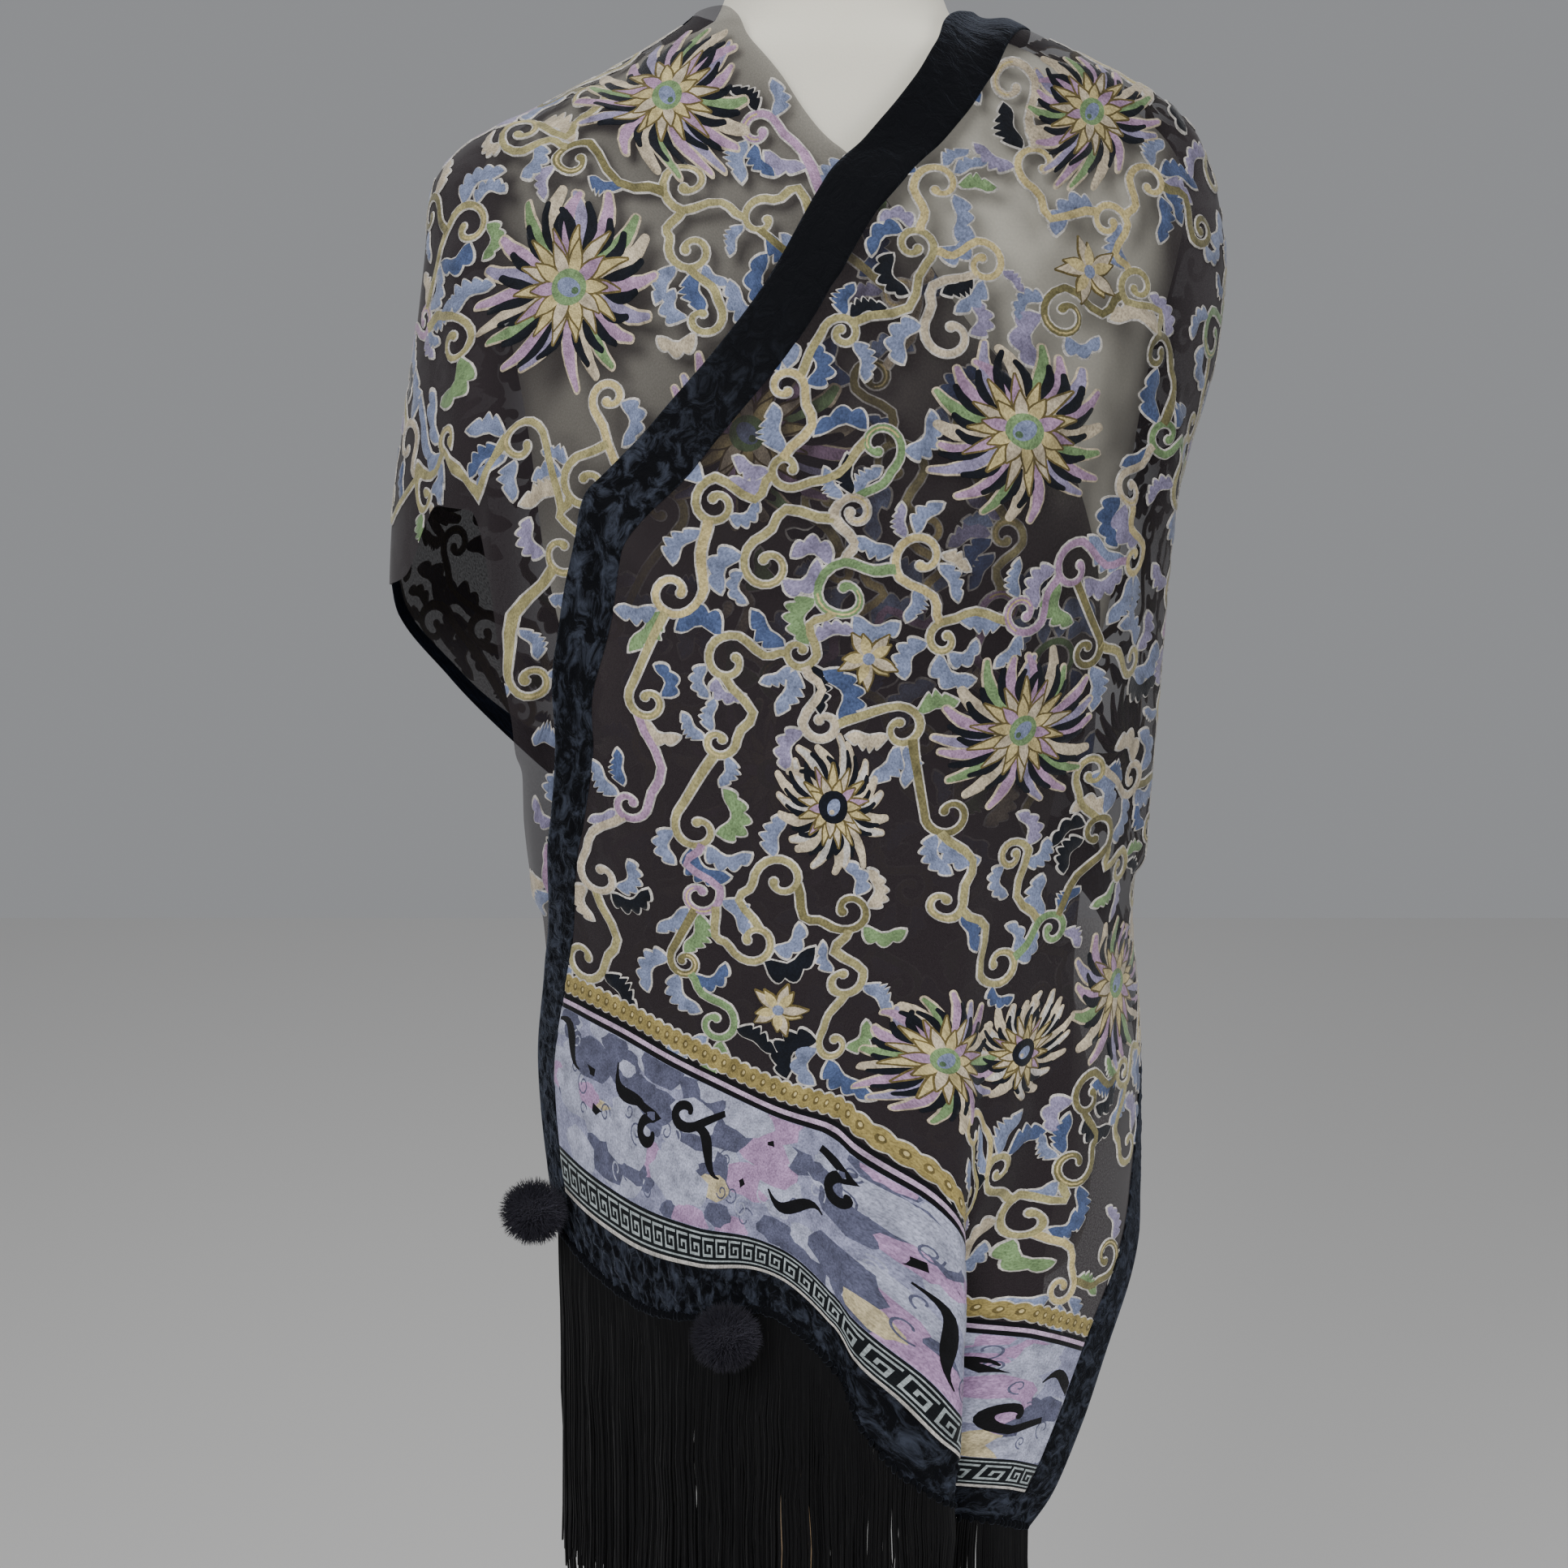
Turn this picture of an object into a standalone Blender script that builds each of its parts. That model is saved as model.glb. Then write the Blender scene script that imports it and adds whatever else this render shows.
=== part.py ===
"""A burnout velvet shawl draped over a limbless dress form on a round stand.

Metres, +Z up, the front faces -Y. The origin lies on the floor, under the middle
of the whole thing. The shawl goes over both shoulders and crosses on the chest:
the right-hand stretch (seen from the front) lies over the left-hand one.
An angle round the form is 0 at +X, -90 in front, 90 behind and 180 at -X.
"""
import math
import random
from collections import namedtuple

import bmesh
import bpy
from mathutils import Vector

COLLECTION_NAME = "velvet_shawl_on_dress_form"

# Dress form and stand
FORM_X = 0.0166
SECTION_POWER = 2.25
FORM_SIDES = 32
CAP_SIDES = 28
POLE_SIDES = 24
BASE_SIDES = 40
NECK_TOP = 1.530
TORSO_BOTTOM = 0.800
CAP_RADIUS = 0.055
CAP_HEIGHT = 0.016
POLE_RADIUS = 0.019
COLLAR_RADIUS = 0.048
COLLAR_HEIGHT = 0.026
BASE_RADIUS = 0.190
BASE_HEIGHT = 0.030
# Turned profiles from the top down: radius and height as shares of the piece's own
Turn = namedtuple("Turn", "radius height")
CAP_TURNS = (Turn(0.0, 1.0), Turn(0.6, 0.9), Turn(0.9, 0.6), Turn(1.0, 0.3), Turn(1.0, 0.0), Turn(0.0, 0.0))
COLLAR_TURNS = (
    Turn(0.0, 1.0), Turn(1.0, 1.0), Turn(1.0, 0.65), Turn(0.55, 0.4), Turn(0.55, 0.0), Turn(0.0, 0.0),
)
POLE_TURNS = (Turn(0.0, 1.0), Turn(1.0, 1.0), Turn(1.0, 0.0), Turn(0.0, 0.0))
BASE_TURNS = (
    Turn(0.0, 1.0), Turn(0.16, 1.0), Turn(0.22, 0.72), Turn(0.93, 0.46), Turn(1.0, 0.28), Turn(1.0, 0.0),
    Turn(0.0, 0.0),
)

# Shawl
CLOTH_WALL = 0.0015
PART_GAP = 0.0003
BORDER_SHARE = 0.058
SEAM_SHARE = 0.0012
SEAM_STEP = 0.012
OVER_SEAM = 0.0011
UNDER_SEAM = 0.0004
SEAM_LONGEST = 0.12

# Fringe and pompoms
STRIP_HEIGHT = 0.006
OVER_STRIP_GAP = 0.0015
UNDER_STRIP_GAP = 0.0004
BARE_FOLD = 0.55
STRIP_WALL = 0.0016
STRAND_SHARE = 0.55
STRAND_TAPER = 0.6
STRAND_UNEVEN = (0.93, 1.04)
OVER_STRANDS = 84
UNDER_STRANDS = 54
POMPOM_RADIUS = 0.0165
LOCK_LENGTH = 0.0035
LOCKS_PER_POMPOM = 40
LOCK_TAPER = 0.45
POMPOM_FLATNESS = 0.92
# Where each pompom sits: share across, table rows above the hem, drop and clearance
Seat = namedtuple("Seat", "name across along drop clear")
POMPOM_SEATS = (
    Seat("pompom_corner", 0.045, 0.75, 0.0, 0.0001),
    Seat("pompom_hem", 0.415, 0.02, 0.004, 0.0006),
)

Section = namedtuple("Section", "z left right front back")
FORM_SECTIONS = (
    Section(1.530, 0.054, 0.054, 0.053, 0.054),
    Section(1.480, 0.054, 0.054, 0.053, 0.055),
    Section(1.462, 0.060, 0.060, 0.055, 0.059),
    Section(1.448, 0.0903, 0.0960, 0.058, 0.0715),
    Section(1.432, 0.1190, 0.1285, 0.059, 0.0795),
    Section(1.415, 0.151, 0.158, 0.061, 0.087),
    Section(1.398, 0.174, 0.174, 0.064, 0.091),
    Section(1.380, 0.183, 0.182, 0.073, 0.095),
    Section(1.340, 0.176, 0.176, 0.090, 0.099),
    Section(1.300, 0.166, 0.166, 0.105, 0.104),
    Section(1.250, 0.158, 0.158, 0.119, 0.105),
    Section(1.200, 0.153, 0.153, 0.126, 0.103),
    Section(1.165, 0.147, 0.147, 0.123, 0.099),
    Section(1.120, 0.136, 0.136, 0.112, 0.093),
    Section(1.070, 0.124, 0.124, 0.098, 0.087),
    Section(1.030, 0.118, 0.118, 0.092, 0.084),
    Section(0.990, 0.123, 0.123, 0.095, 0.089),
    Section(0.940, 0.138, 0.138, 0.102, 0.101),
    Section(0.870, 0.150, 0.150, 0.112, 0.113),
    Section(0.825, 0.149, 0.149, 0.112, 0.112),
    Section(0.806, 0.145, 0.145, 0.109, 0.109),
    Section(0.800, 0.138, 0.138, 0.103, 0.103),
)
DRAPE_SECTIONS = (
    Section(1.480, 0.060, 0.060, 0.056, 0.058),
    Section(1.462, 0.068, 0.068, 0.060, 0.064),
    Section(1.448, 0.088, 0.094, 0.061, 0.070),
    Section(1.432, 0.118, 0.130, 0.062, 0.078),
    Section(1.415, 0.152, 0.163, 0.064, 0.086),
    Section(1.398, 0.186, 0.183, 0.068, 0.093),
    Section(1.380, 0.201, 0.192, 0.078, 0.098),
    Section(1.340, 0.207, 0.198, 0.096, 0.105),
    Section(1.300, 0.213, 0.195, 0.112, 0.110),
    Section(1.250, 0.222, 0.182, 0.127, 0.112),
    Section(1.200, 0.229, 0.171, 0.132, 0.112),
    Section(1.165, 0.231, 0.166, 0.132, 0.110),
    Section(1.120, 0.212, 0.162, 0.130, 0.108),
    Section(1.070, 0.184, 0.158, 0.126, 0.106),
    Section(1.000, 0.160, 0.155, 0.121, 0.108),
    Section(0.940, 0.156, 0.160, 0.120, 0.116),
    Section(0.870, 0.157, 0.163, 0.122, 0.120),
    Section(0.800, 0.155, 0.167, 0.124, 0.120),
    Section(0.740, 0.154, 0.164, 0.124, 0.118),
    Section(0.660, 0.152, 0.158, 0.123, 0.116),
)

# Where each cross line of the cloth starts (neck side) and ends (outer side),
# and how far it stands off the drape at each end.
Line = namedtuple("Line", "in_angle in_z out_angle out_z in_lift out_lift fold_at fold_half")
OVER_LINES = (
    Line(20, 1.463, 72, 1.000, 0.003, 0.003, 0.50, 0.14),
    Line(-30, 1.463, 56, 1.000, 0.003, 0.003, 0.50, 0.14),
    Line(-64, 1.447, 44, 1.000, 0.004, 0.003, 0.50, 0.14),
    Line(-81, 1.422, 33, 0.995, 0.007, 0.004, 0.50, 0.14),
    Line(-89, 1.393, 24, 0.985, 0.010, 0.006, 0.50, 0.14),
    Line(-98, 1.330, 13, 0.960, 0.012, 0.009, 0.52, 0.14),
    Line(-110, 1.272, 3, 0.925, 0.013, 0.011, 0.55, 0.14),
    Line(-119, 1.232, -4, 0.893, 0.013, 0.012, 0.58, 0.14),
    Line(-121, 1.182, -9, 0.866, 0.013, 0.012, 0.60, 0.14),
    Line(-126, 1.120, -14, 0.842, 0.013, 0.012, 0.63, 0.14),
    Line(-138, 1.055, -21, 0.820, 0.014, 0.014, 0.66, 0.15),
    Line(-149, 0.985, -34, 0.778, 0.015, 0.015, 0.68, 0.15),
    Line(-155, 0.930, -42, 0.734, 0.015, 0.016, 0.72, 0.15),
    Line(-151, 0.874, -49, 0.697, 0.015, 0.016, 0.76, 0.15),
    Line(-147, 0.841, -54, 0.682, 0.015, 0.016, 0.785, 0.145),
)
UNDER_LINES = (
    Line(-180, 1.462, -180, 1.175, 0.003, 0.003, 0.5, 0.1),
    Line(-142, 1.466, -158, 1.190, 0.003, 0.003, 0.5, 0.1),
    Line(-118, 1.452, -148, 1.228, 0.003, 0.003, 0.5, 0.1),
    Line(-101, 1.434, -140, 1.228, 0.003, 0.003, 0.5, 0.1),
    Line(-89, 1.397, -134, 1.195, 0.003, 0.003, 0.5, 0.1),
    Line(-82, 1.361, -132, 1.155, 0.003, 0.003, 0.5, 0.1),
    Line(-75, 1.323, -136, 1.110, 0.003, 0.003, 0.5, 0.1),
    Line(-66, 1.290, -147, 1.065, 0.003, 0.003, 0.5, 0.1),
    Line(-52, 1.240, -157, 1.016, 0.003, 0.003, 0.5, 0.1),
    Line(-41, 1.170, -159, 0.978, 0.003, 0.003, 0.5, 0.1),
    Line(-38, 1.060, -149, 0.945, 0.003, 0.003, 0.5, 0.1),
    Line(-42, 0.920, -139, 0.925, 0.003, 0.003, 0.5, 0.1),
    Line(-50, 0.830, -132, 0.900, 0.001, 0.001, 0.5, 0.1),
)
BACK_LINES = (
    Line(20, 1.463, 72, 1.000, 0.003, 0.003, 0.5, 0.1),
    Line(50, 1.456, 90, 0.985, 0.003, 0.003, 0.5, 0.1),
    Line(80, 1.447, 106, 0.985, 0.003, 0.003, 0.5, 0.1),
    Line(105, 1.448, 122, 1.000, 0.003, 0.003, 0.5, 0.1),
    Line(130, 1.456, 140, 1.032, 0.003, 0.003, 0.5, 0.1),
    Line(152, 1.462, 157, 1.078, 0.003, 0.003, 0.5, 0.1),
    Line(168, 1.463, 168, 1.125, 0.003, 0.003, 0.5, 0.1),
    Line(180, 1.462, 180, 1.175, 0.003, 0.003, 0.5, 0.1),
)
OVER_END = len(OVER_LINES) - 1
OVER_FACING = OVER_END - 1 + 0.05
UNDER_END = len(UNDER_LINES) - 1
UNDER_FACING = UNDER_END - 0.45
BACK_END = len(BACK_LINES) - 1

# How far a cross line of the over stretch rises above a straight one.
Rise = namedtuple("Rise", "share at_stripe at_hem")
OVER_RISES = (
    Rise(0.00, 0.000, 0.000),
    Rise(0.10, 0.020, 0.002),
    Rise(0.20, 0.033, 0.008),
    Rise(0.35, 0.046, 0.033),
    Rise(0.50, 0.055, 0.064),
    Rise(0.58, 0.036, 0.052),
    Rise(0.64, 0.008, 0.022),
    Rise(0.68, -0.008, -0.006),
    Rise(0.72, -0.012, -0.016),
    Rise(0.76, -0.013, -0.018),
    Rise(0.82, -0.009, -0.014),
    Rise(0.90, -0.004, -0.006),
    Rise(1.00, 0.000, 0.000),
)
RISE_START = 6.0
STRIPE_LINE = 11.0

# The deep fold low in the over stretch, where the cloth doubles back on itself.
FOLD_RAISED = (7.2, 9.6)
FOLD_START = 9.2
FOLD_FULL = 11.8
FOLD_BACK = 2.3
FOLD_OUT = 0.010
FOLD_IN = 0.008
FOLD_NOSE = (0.12, 0.56)
FOLD_FOOT = (0.60, 1.00)

# Folds as soft ridges (height above 0) and troughs (below 0), drawn on the front
# (side -1) or the back (side 1) from (x1, z1) to (x2, z2), x from the form's axis.
Crease = namedtuple("Crease", "side x1 z1 x2 z2 height width")
OVER_CREASES = (
    Crease(-1, 0.080, 1.447, 0.182, 1.404, 0.009, 0.010),
    Crease(-1, 0.116, 1.396, 0.107, 1.318, 0.004, 0.008),
    Crease(-1, 0.146, 1.312, 0.056, 1.238, 0.006, 0.009),
    Crease(-1, 0.086, 1.292, 0.026, 1.231, -0.002, 0.014),
    Crease(-1, -0.112, 1.240, -0.084, 1.196, 0.004, 0.007),
    Crease(-1, -0.122, 1.222, -0.094, 1.166, -0.002, 0.007),
    Crease(-1, -0.128, 1.200, -0.108, 1.130, 0.003, 0.007),
    Crease(-1, 0.092, 1.120, 0.090, 1.040, -0.003, 0.016),
    Crease(-1, 0.160, 1.270, 0.150, 1.040, 0.007, 0.009),
    Crease(-1, 0.135, 1.230, 0.126, 1.010, 0.004, 0.010),
    Crease(-1, -0.095, 1.020, -0.104, 0.820, -0.002, 0.018),
    Crease(-1, -0.022, 1.000, -0.022, 0.810, 0.007, 0.020),
    Crease(-1, 0.040, 0.930, 0.036, 0.740, -0.002, 0.016),
)
UNDER_CREASES = (
    Crease(-1, -0.099, 1.432, -0.094, 1.385, -0.002, 0.007),
    Crease(-1, -0.120, 1.418, -0.036, 1.352, 0.004, 0.008),
    Crease(-1, -0.160, 1.404, -0.080, 1.345, 0.003, 0.009),
    Crease(-1, -0.140, 1.372, -0.062, 1.306, 0.005, 0.009),
    Crease(-1, -0.182, 1.350, -0.180, 1.250, 0.004, 0.010),
    Crease(-1, -0.163, 1.245, -0.158, 1.110, 0.005, 0.008),
    Crease(-1, -0.146, 1.240, -0.140, 1.080, -0.002, 0.007),
    Crease(-1, -0.150, 1.160, -0.148, 1.020, 0.004, 0.007),
)
BACK_CREASES = (
    Crease(1, -0.120, 1.372, 0.000, 1.318, 0.005, 0.012),
    Crease(1, 0.000, 1.318, 0.120, 1.372, 0.005, 0.012),
    Crease(1, -0.150, 1.292, 0.010, 1.214, 0.006, 0.014),
    Crease(1, 0.010, 1.214, 0.140, 1.262, 0.005, 0.014),
    Crease(1, -0.150, 1.196, -0.020, 1.116, 0.005, 0.015),
    Crease(1, -0.020, 1.116, 0.110, 1.130, 0.004, 0.015),
    Crease(1, -0.196, 1.375, -0.192, 1.170, 0.006, 0.011),
)
SIDE_FADE = 0.35

# Strand length along the hem of the over stretch.
Tuft = namedtuple("Tuft", "share length")
OVER_TUFTS = (
    Tuft(0.00, 0.205),
    Tuft(0.25, 0.180),
    Tuft(0.50, 0.158),
    Tuft(0.75, 0.160),
    Tuft(1.00, 0.165),
)
UNDER_TUFTS = (Tuft(0.00, 0.135), Tuft(1.00, 0.135))

# Grid cells across and along each stretch
OVER_CELLS = (34, 34)
FOLD_CELLS = 18
AFTER_FOLD_CELLS = 3
UNDER_CELLS = (18, 24)
BACK_CELLS = (18, 18)
BORDER_CELLS = 2
FACING_CELLS = 3
PATH_SAMPLES = 60

# Small steps for directions on the drape: an angle, a height, and shares of the cloth
ANGLE_STEP = 1.0
HEIGHT_STEP = 0.004
ACROSS_STEP = 0.003
ALONG_STEP = 0.08

COLOURS = {
    "jersey": ((0.80, 0.76, 0.66), 0.85, 0.0),
    "maple": ((0.56, 0.40, 0.24), 0.55, 0.0),
    "steel": ((0.05, 0.05, 0.055), 0.45, 0.9),
    "burnout": ((0.085, 0.075, 0.080), 0.80, 0.0),
    "velvet": ((0.010, 0.012, 0.020), 0.90, 0.0),
    "rayon": ((0.008, 0.008, 0.010), 0.60, 0.0),
    "fur": ((0.035, 0.033, 0.042), 0.95, 0.0),
}


def hermite_row(rows, keys, at, fields):
    """Reads the named fields between a table's rows along a smooth curve."""
    last = len(rows) - 2
    i = 0
    while i < last and (at - keys[i + 1]) * (keys[-1] - keys[0]) > 0:
        i += 1
    span = keys[i + 1] - keys[i]
    t = min(1.0, max(0.0, (at - keys[i]) / span))
    result = []
    for field in fields:
        value = [getattr(row, field) for row in rows]
        step = (value[i + 1] - value[i]) / span
        slopes = []
        for k in (i, i + 1):
            if 0 < k < len(rows) - 1:
                before = (value[k] - value[k - 1]) / (keys[k] - keys[k - 1])
                after = (value[k + 1] - value[k]) / (keys[k + 1] - keys[k])
                slopes.append(0.0 if before * after <= 0 else 2 * before * after / (before + after))
            else:
                slopes.append(step)
        t2, t3 = t * t, t * t * t
        result.append(
            (2 * t3 - 3 * t2 + 1) * value[i]
            + (t3 - 2 * t2 + t) * span * slopes[0]
            + (3 * t2 - 2 * t3) * value[i + 1]
            + (t3 - t2) * span * slopes[1]
        )
    return result


def smooth_step(value, low, high):
    """Goes from 0 at low to 1 at high without a kink."""
    t = min(1.0, max(0.0, (value - low) / (high - low)))
    return t * t * (3 - 2 * t)


def section_point(sections, angle, z, lift=0.0):
    """Gives the point at an angle (degrees) and a height on a stack of sections."""
    keys = [row.z for row in sections]
    left, right, front, back = hermite_row(sections, keys, z, ("left", "right", "front", "back"))
    c, s = math.cos(math.radians(angle)), math.sin(math.radians(angle))
    wide = (right if c > 0 else left) + lift
    deep = (back if s > 0 else front) + lift
    x = wide * math.copysign(abs(c) ** (2 / SECTION_POWER), c)
    y = deep * math.copysign(abs(s) ** (2 / SECTION_POWER), s)
    return Vector((FORM_X + x, y, z))


def drape_normal(angle, z):
    """Gives the outward direction of the drape at a place."""
    left, right = (section_point(DRAPE_SECTIONS, angle + a, z) for a in (-ANGLE_STEP, ANGLE_STEP))
    low, high = (section_point(DRAPE_SECTIONS, angle, z + h) for h in (-HEIGHT_STEP, HEIGHT_STEP))
    return (right - left).cross(high - low).normalized()


def crease_height(creases, point, angle):
    """Adds up the ridges and troughs near a point."""
    facing = math.sin(math.radians(angle))
    total = 0.0
    for crease in creases:
        fade = smooth_step(crease.side * facing, 0.0, SIDE_FADE)
        if fade == 0.0:
            continue
        dx, dz = crease.x2 - crease.x1, crease.z2 - crease.z1
        px, pz = point.x - FORM_X - crease.x1, point.z - crease.z1
        share = min(1.0, max(0.0, (px * dx + pz * dz) / (dx * dx + dz * dz)))
        away = math.hypot(px - share * dx, pz - share * dz)
        total += fade * crease.height * math.exp(-((away / crease.width) ** 2))
    return total


class Stretch:
    """One stretch of the shawl: cross lines laid on the drape, with its folds."""

    def __init__(self, lines, creases, rises=()):
        self.lines = lines
        self.creases = creases
        self.rises = rises
        self.paths = {}

    def path(self, along):
        """Gives the cross line at a place along the cloth, evenly spaced by length."""
        key = round(along, 5)
        if key in self.paths:
            return self.paths[key]
        keys = list(range(len(self.lines)))
        values = hermite_row(self.lines, keys, along, Line._fields)
        line = Line(*values)
        places, lengths = [], [0.0]
        for i in range(PATH_SAMPLES + 1):
            share = i / PATH_SAMPLES
            angle = line.in_angle + (line.out_angle - line.in_angle) * share
            z = line.in_z + (line.out_z - line.in_z) * share
            places.append((angle, z, section_point(DRAPE_SECTIONS, angle, z)))
        for a, b in zip(places, places[1:]):
            lengths.append(lengths[-1] + (b[2] - a[2]).length)
        self.paths[key] = (line, places, lengths)
        return self.paths[key]

    def place(self, across, along):
        """Gives angle and height at a share of the cross line's length."""
        _, places, lengths = self.path(along)
        target = min(1.0, max(0.0, across)) * lengths[-1]
        i = 0
        while i < PATH_SAMPLES - 1 and lengths[i + 1] < target:
            i += 1
        t = (target - lengths[i]) / (lengths[i + 1] - lengths[i])
        a, b = places[i], places[i + 1]
        return a[0] + (b[0] - a[0]) * t, a[1] + (b[1] - a[1]) * t

    def rise(self, across, along):
        """Gives how far the cross line stands above a straight one."""
        if not self.rises:
            return 0.0
        keys = [row.share for row in self.rises]
        stripe, hem = hermite_row(self.rises, keys, across, ("at_stripe", "at_hem"))
        blend = smooth_step(along, STRIPE_LINE, OVER_END)
        return (stripe + (hem - stripe) * blend) * smooth_step(along, RISE_START, STRIPE_LINE)

    def fold_share(self, across, along):
        """Gives the place in the deep fold, from -1 to 1 where it has one."""
        line = self.path(along)[0]
        return (across - line.fold_at) / line.fold_half

    def point(self, across, along):
        """Gives the middle of the cloth's wall at a place across and along it."""
        line = self.path(along)[0]
        folded = smooth_step(along, FOLD_START, FOLD_FULL) if self.rises else 0.0
        raised = smooth_step(along, *FOLD_RAISED) if self.rises else 0.0
        q = self.fold_share(across, along)
        inside = abs(q) < 1.0 and raised > 0.0
        seen = across
        bulge = 0.0
        if inside:
            window = 1 - q * q
            seen -= FOLD_BACK * folded * line.fold_half * q * window * window
            ply = smooth_step(abs(q), *FOLD_NOSE) * (1 - smooth_step(abs(q), *FOLD_FOOT))
            bulge = raised * ply * (FOLD_OUT if q < 0 else -FOLD_IN)
        angle, _ = self.place(seen, along)
        _, z = self.place(across, along)
        z += self.rise(across, along)
        base = section_point(DRAPE_SECTIONS, angle, z)
        lift = line.in_lift + (line.out_lift - line.in_lift) * across
        lift += bulge + crease_height(self.creases, base, angle)
        return base + drape_normal(angle, z) * lift

    def grid(self, across, along, cells):
        """Gives rows of points over a range across and a range along."""
        rows = []
        for j in range(cells[1] + 1):
            v = along[0] + (along[1] - along[0]) * j / cells[1]
            shares = self.shares(across, v, cells[0])
            rows.append([self.point(u, v) for u in shares])
        return rows

    def grid_below(self, seam, width, end, cells):
        """Gives rows of points from just below a cross seam down to the hem."""
        rows = []
        for j in range(cells[1] + 1):
            row = []
            for u in self.shares((0, 1), seam, cells[0]):
                here = self.point(u, seam)
                aside = (self.point(u + ACROSS_STEP, seam) - self.point(u - ACROSS_STEP, seam)).normalized()
                ahead = (self.point(u, seam + ALONG_STEP) - here) / ALONG_STEP
                step = min(SEAM_LONGEST, width / ahead.cross(aside).length)
                start = seam + step
                row.append(self.point(u, start + (end - start) * j / cells[1]))
            rows.append(row)
        return rows

    def shares(self, across, along, cells):
        """Spaces the cells of one cross line, closer together in the deep fold."""
        low, high = across
        if not self.rises or cells <= FOLD_CELLS:
            return [low + (high - low) * i / cells for i in range(cells + 1)]
        if low == 0:
            inner = self.shares((0, BORDER_SHARE), along, BORDER_CELLS)
            outer = self.shares((1 - BORDER_SHARE, 1), along, BORDER_CELLS)
            middle = self.shares((BORDER_SHARE, 1 - BORDER_SHARE), along, cells)
            return inner[:-1] + middle + outer[1:]
        line = self.path(along)[0]
        first, last = line.fold_at - line.fold_half, line.fold_at + line.fold_half
        before = cells - FOLD_CELLS - AFTER_FOLD_CELLS
        result = [low + (first - low) * i / before for i in range(before)]
        result += [first + (last - first) * i / FOLD_CELLS for i in range(FOLD_CELLS)]
        result += [last + (high - last) * i / AFTER_FOLD_CELLS for i in range(AFTER_FOLD_CELLS + 1)]
        return result


OVER = Stretch(OVER_LINES, OVER_CREASES + BACK_CREASES, OVER_RISES)
UNDER = Stretch(UNDER_LINES, UNDER_CREASES)
BACK = Stretch(BACK_LINES, BACK_CREASES)


def material(name):
    """Makes the plain material of one finish."""
    colour, roughness, metallic = COLOURS[name]
    made = bpy.data.materials.get(name) or bpy.data.materials.new(name)
    made.use_nodes = True
    shader = made.node_tree.nodes["Principled BSDF"]
    shader.inputs["Base Color"].default_value = (*colour, 1.0)
    shader.inputs["Roughness"].default_value = roughness
    shader.inputs["Metallic"].default_value = metallic
    return made


def add_object(name, mesh, finish, parent):
    """Puts a mesh into the shawl's collection under its parent."""
    item = bpy.data.objects.new(name, mesh)
    bpy.data.collections[COLLECTION_NAME].objects.link(item)
    mesh.materials.append(material(finish))
    item.parent = parent
    return item


def cloth_wall(name, rows, finish, parent):
    """Makes a cloth wall from the points of its middle."""
    work = bmesh.new()
    verts = [[work.verts.new(point) for point in row] for row in rows]
    for a, b in zip(verts, verts[1:]):
        for i in range(len(a) - 1):
            work.faces.new((a[i], a[i + 1], b[i + 1], b[i]))
    mesh = bpy.data.meshes.new(name)
    work.to_mesh(mesh)
    work.free()
    mesh.shade_smooth()
    item = add_object(name, mesh, finish, parent)
    wall = item.modifiers.new("wall", "SOLIDIFY")
    wall.thickness = CLOTH_WALL
    wall.offset = 0.0
    return item


def closed_loft(name, rings, finish, parent):
    """Makes a solid from rings of points, closed flat at both ends."""
    work = bmesh.new()
    verts = [[work.verts.new(point) for point in ring] for ring in rings]
    count = len(rings[0])
    for a, b in zip(verts, verts[1:]):
        for i in range(count):
            k = (i + 1) % count
            work.faces.new((a[i], a[k], b[k], b[i]))
    work.faces.new(verts[0][::-1])
    work.faces.new(verts[-1])
    bmesh.ops.recalc_face_normals(work, faces=work.faces)
    mesh = bpy.data.meshes.new(name)
    work.to_mesh(mesh)
    work.free()
    mesh.shade_smooth()
    return add_object(name, mesh, finish, parent)


def turned(name, profile, size, steps, finish, parent):
    """Makes a turned solid of a radius, a foot height and a height of its own."""
    radius, low, height = size
    mesh = bpy.data.meshes.new(name)
    points = [(radius * turn.radius, 0.0, low + height * turn.height) for turn in profile]
    mesh.from_pydata(points, [(i, i + 1) for i in range(len(points) - 1)], [])
    item = add_object(name, mesh, finish, parent)
    screw = item.modifiers.new("turn", "SCREW")
    screw.steps = steps
    screw.render_steps = steps
    screw.use_merge_vertices = True
    screw.merge_threshold = 0.00005
    screw.use_normal_calculate = False
    return item


def make_form(parent):
    """Makes the torso with its neck, and the cap on the neck."""
    heights = [row.z for row in FORM_SECTIONS]
    rings = []
    for z in reversed(heights):
        ring = []
        for i in range(FORM_SIDES):
            angle = -180 + 360 * i / FORM_SIDES
            ring.append(section_point(FORM_SECTIONS, angle, z))
        rings.append(ring)
    closed_loft("form_torso", rings, "jersey", parent)

    cap_size = (CAP_RADIUS, NECK_TOP + PART_GAP, CAP_HEIGHT)
    cap = turned("form_neck_cap", CAP_TURNS, cap_size, CAP_SIDES, "maple", parent)
    cap.location.x = FORM_X


def make_stand(parent):
    """Makes the collar under the torso, the pole and the round base."""
    collar_low = TORSO_BOTTOM - PART_GAP - COLLAR_HEIGHT
    collar_size = (COLLAR_RADIUS, collar_low, COLLAR_HEIGHT)
    turned("stand_collar", COLLAR_TURNS, collar_size, POLE_SIDES, "steel", parent)
    pole_low = BASE_HEIGHT + PART_GAP
    pole_size = (POLE_RADIUS, pole_low, collar_low - PART_GAP - pole_low)
    turned("stand_pole", POLE_TURNS, pole_size, POLE_SIDES, "maple", parent)
    turned("stand_base", BASE_TURNS, (BASE_RADIUS, 0.0, BASE_HEIGHT), BASE_SIDES, "steel", parent)


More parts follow.
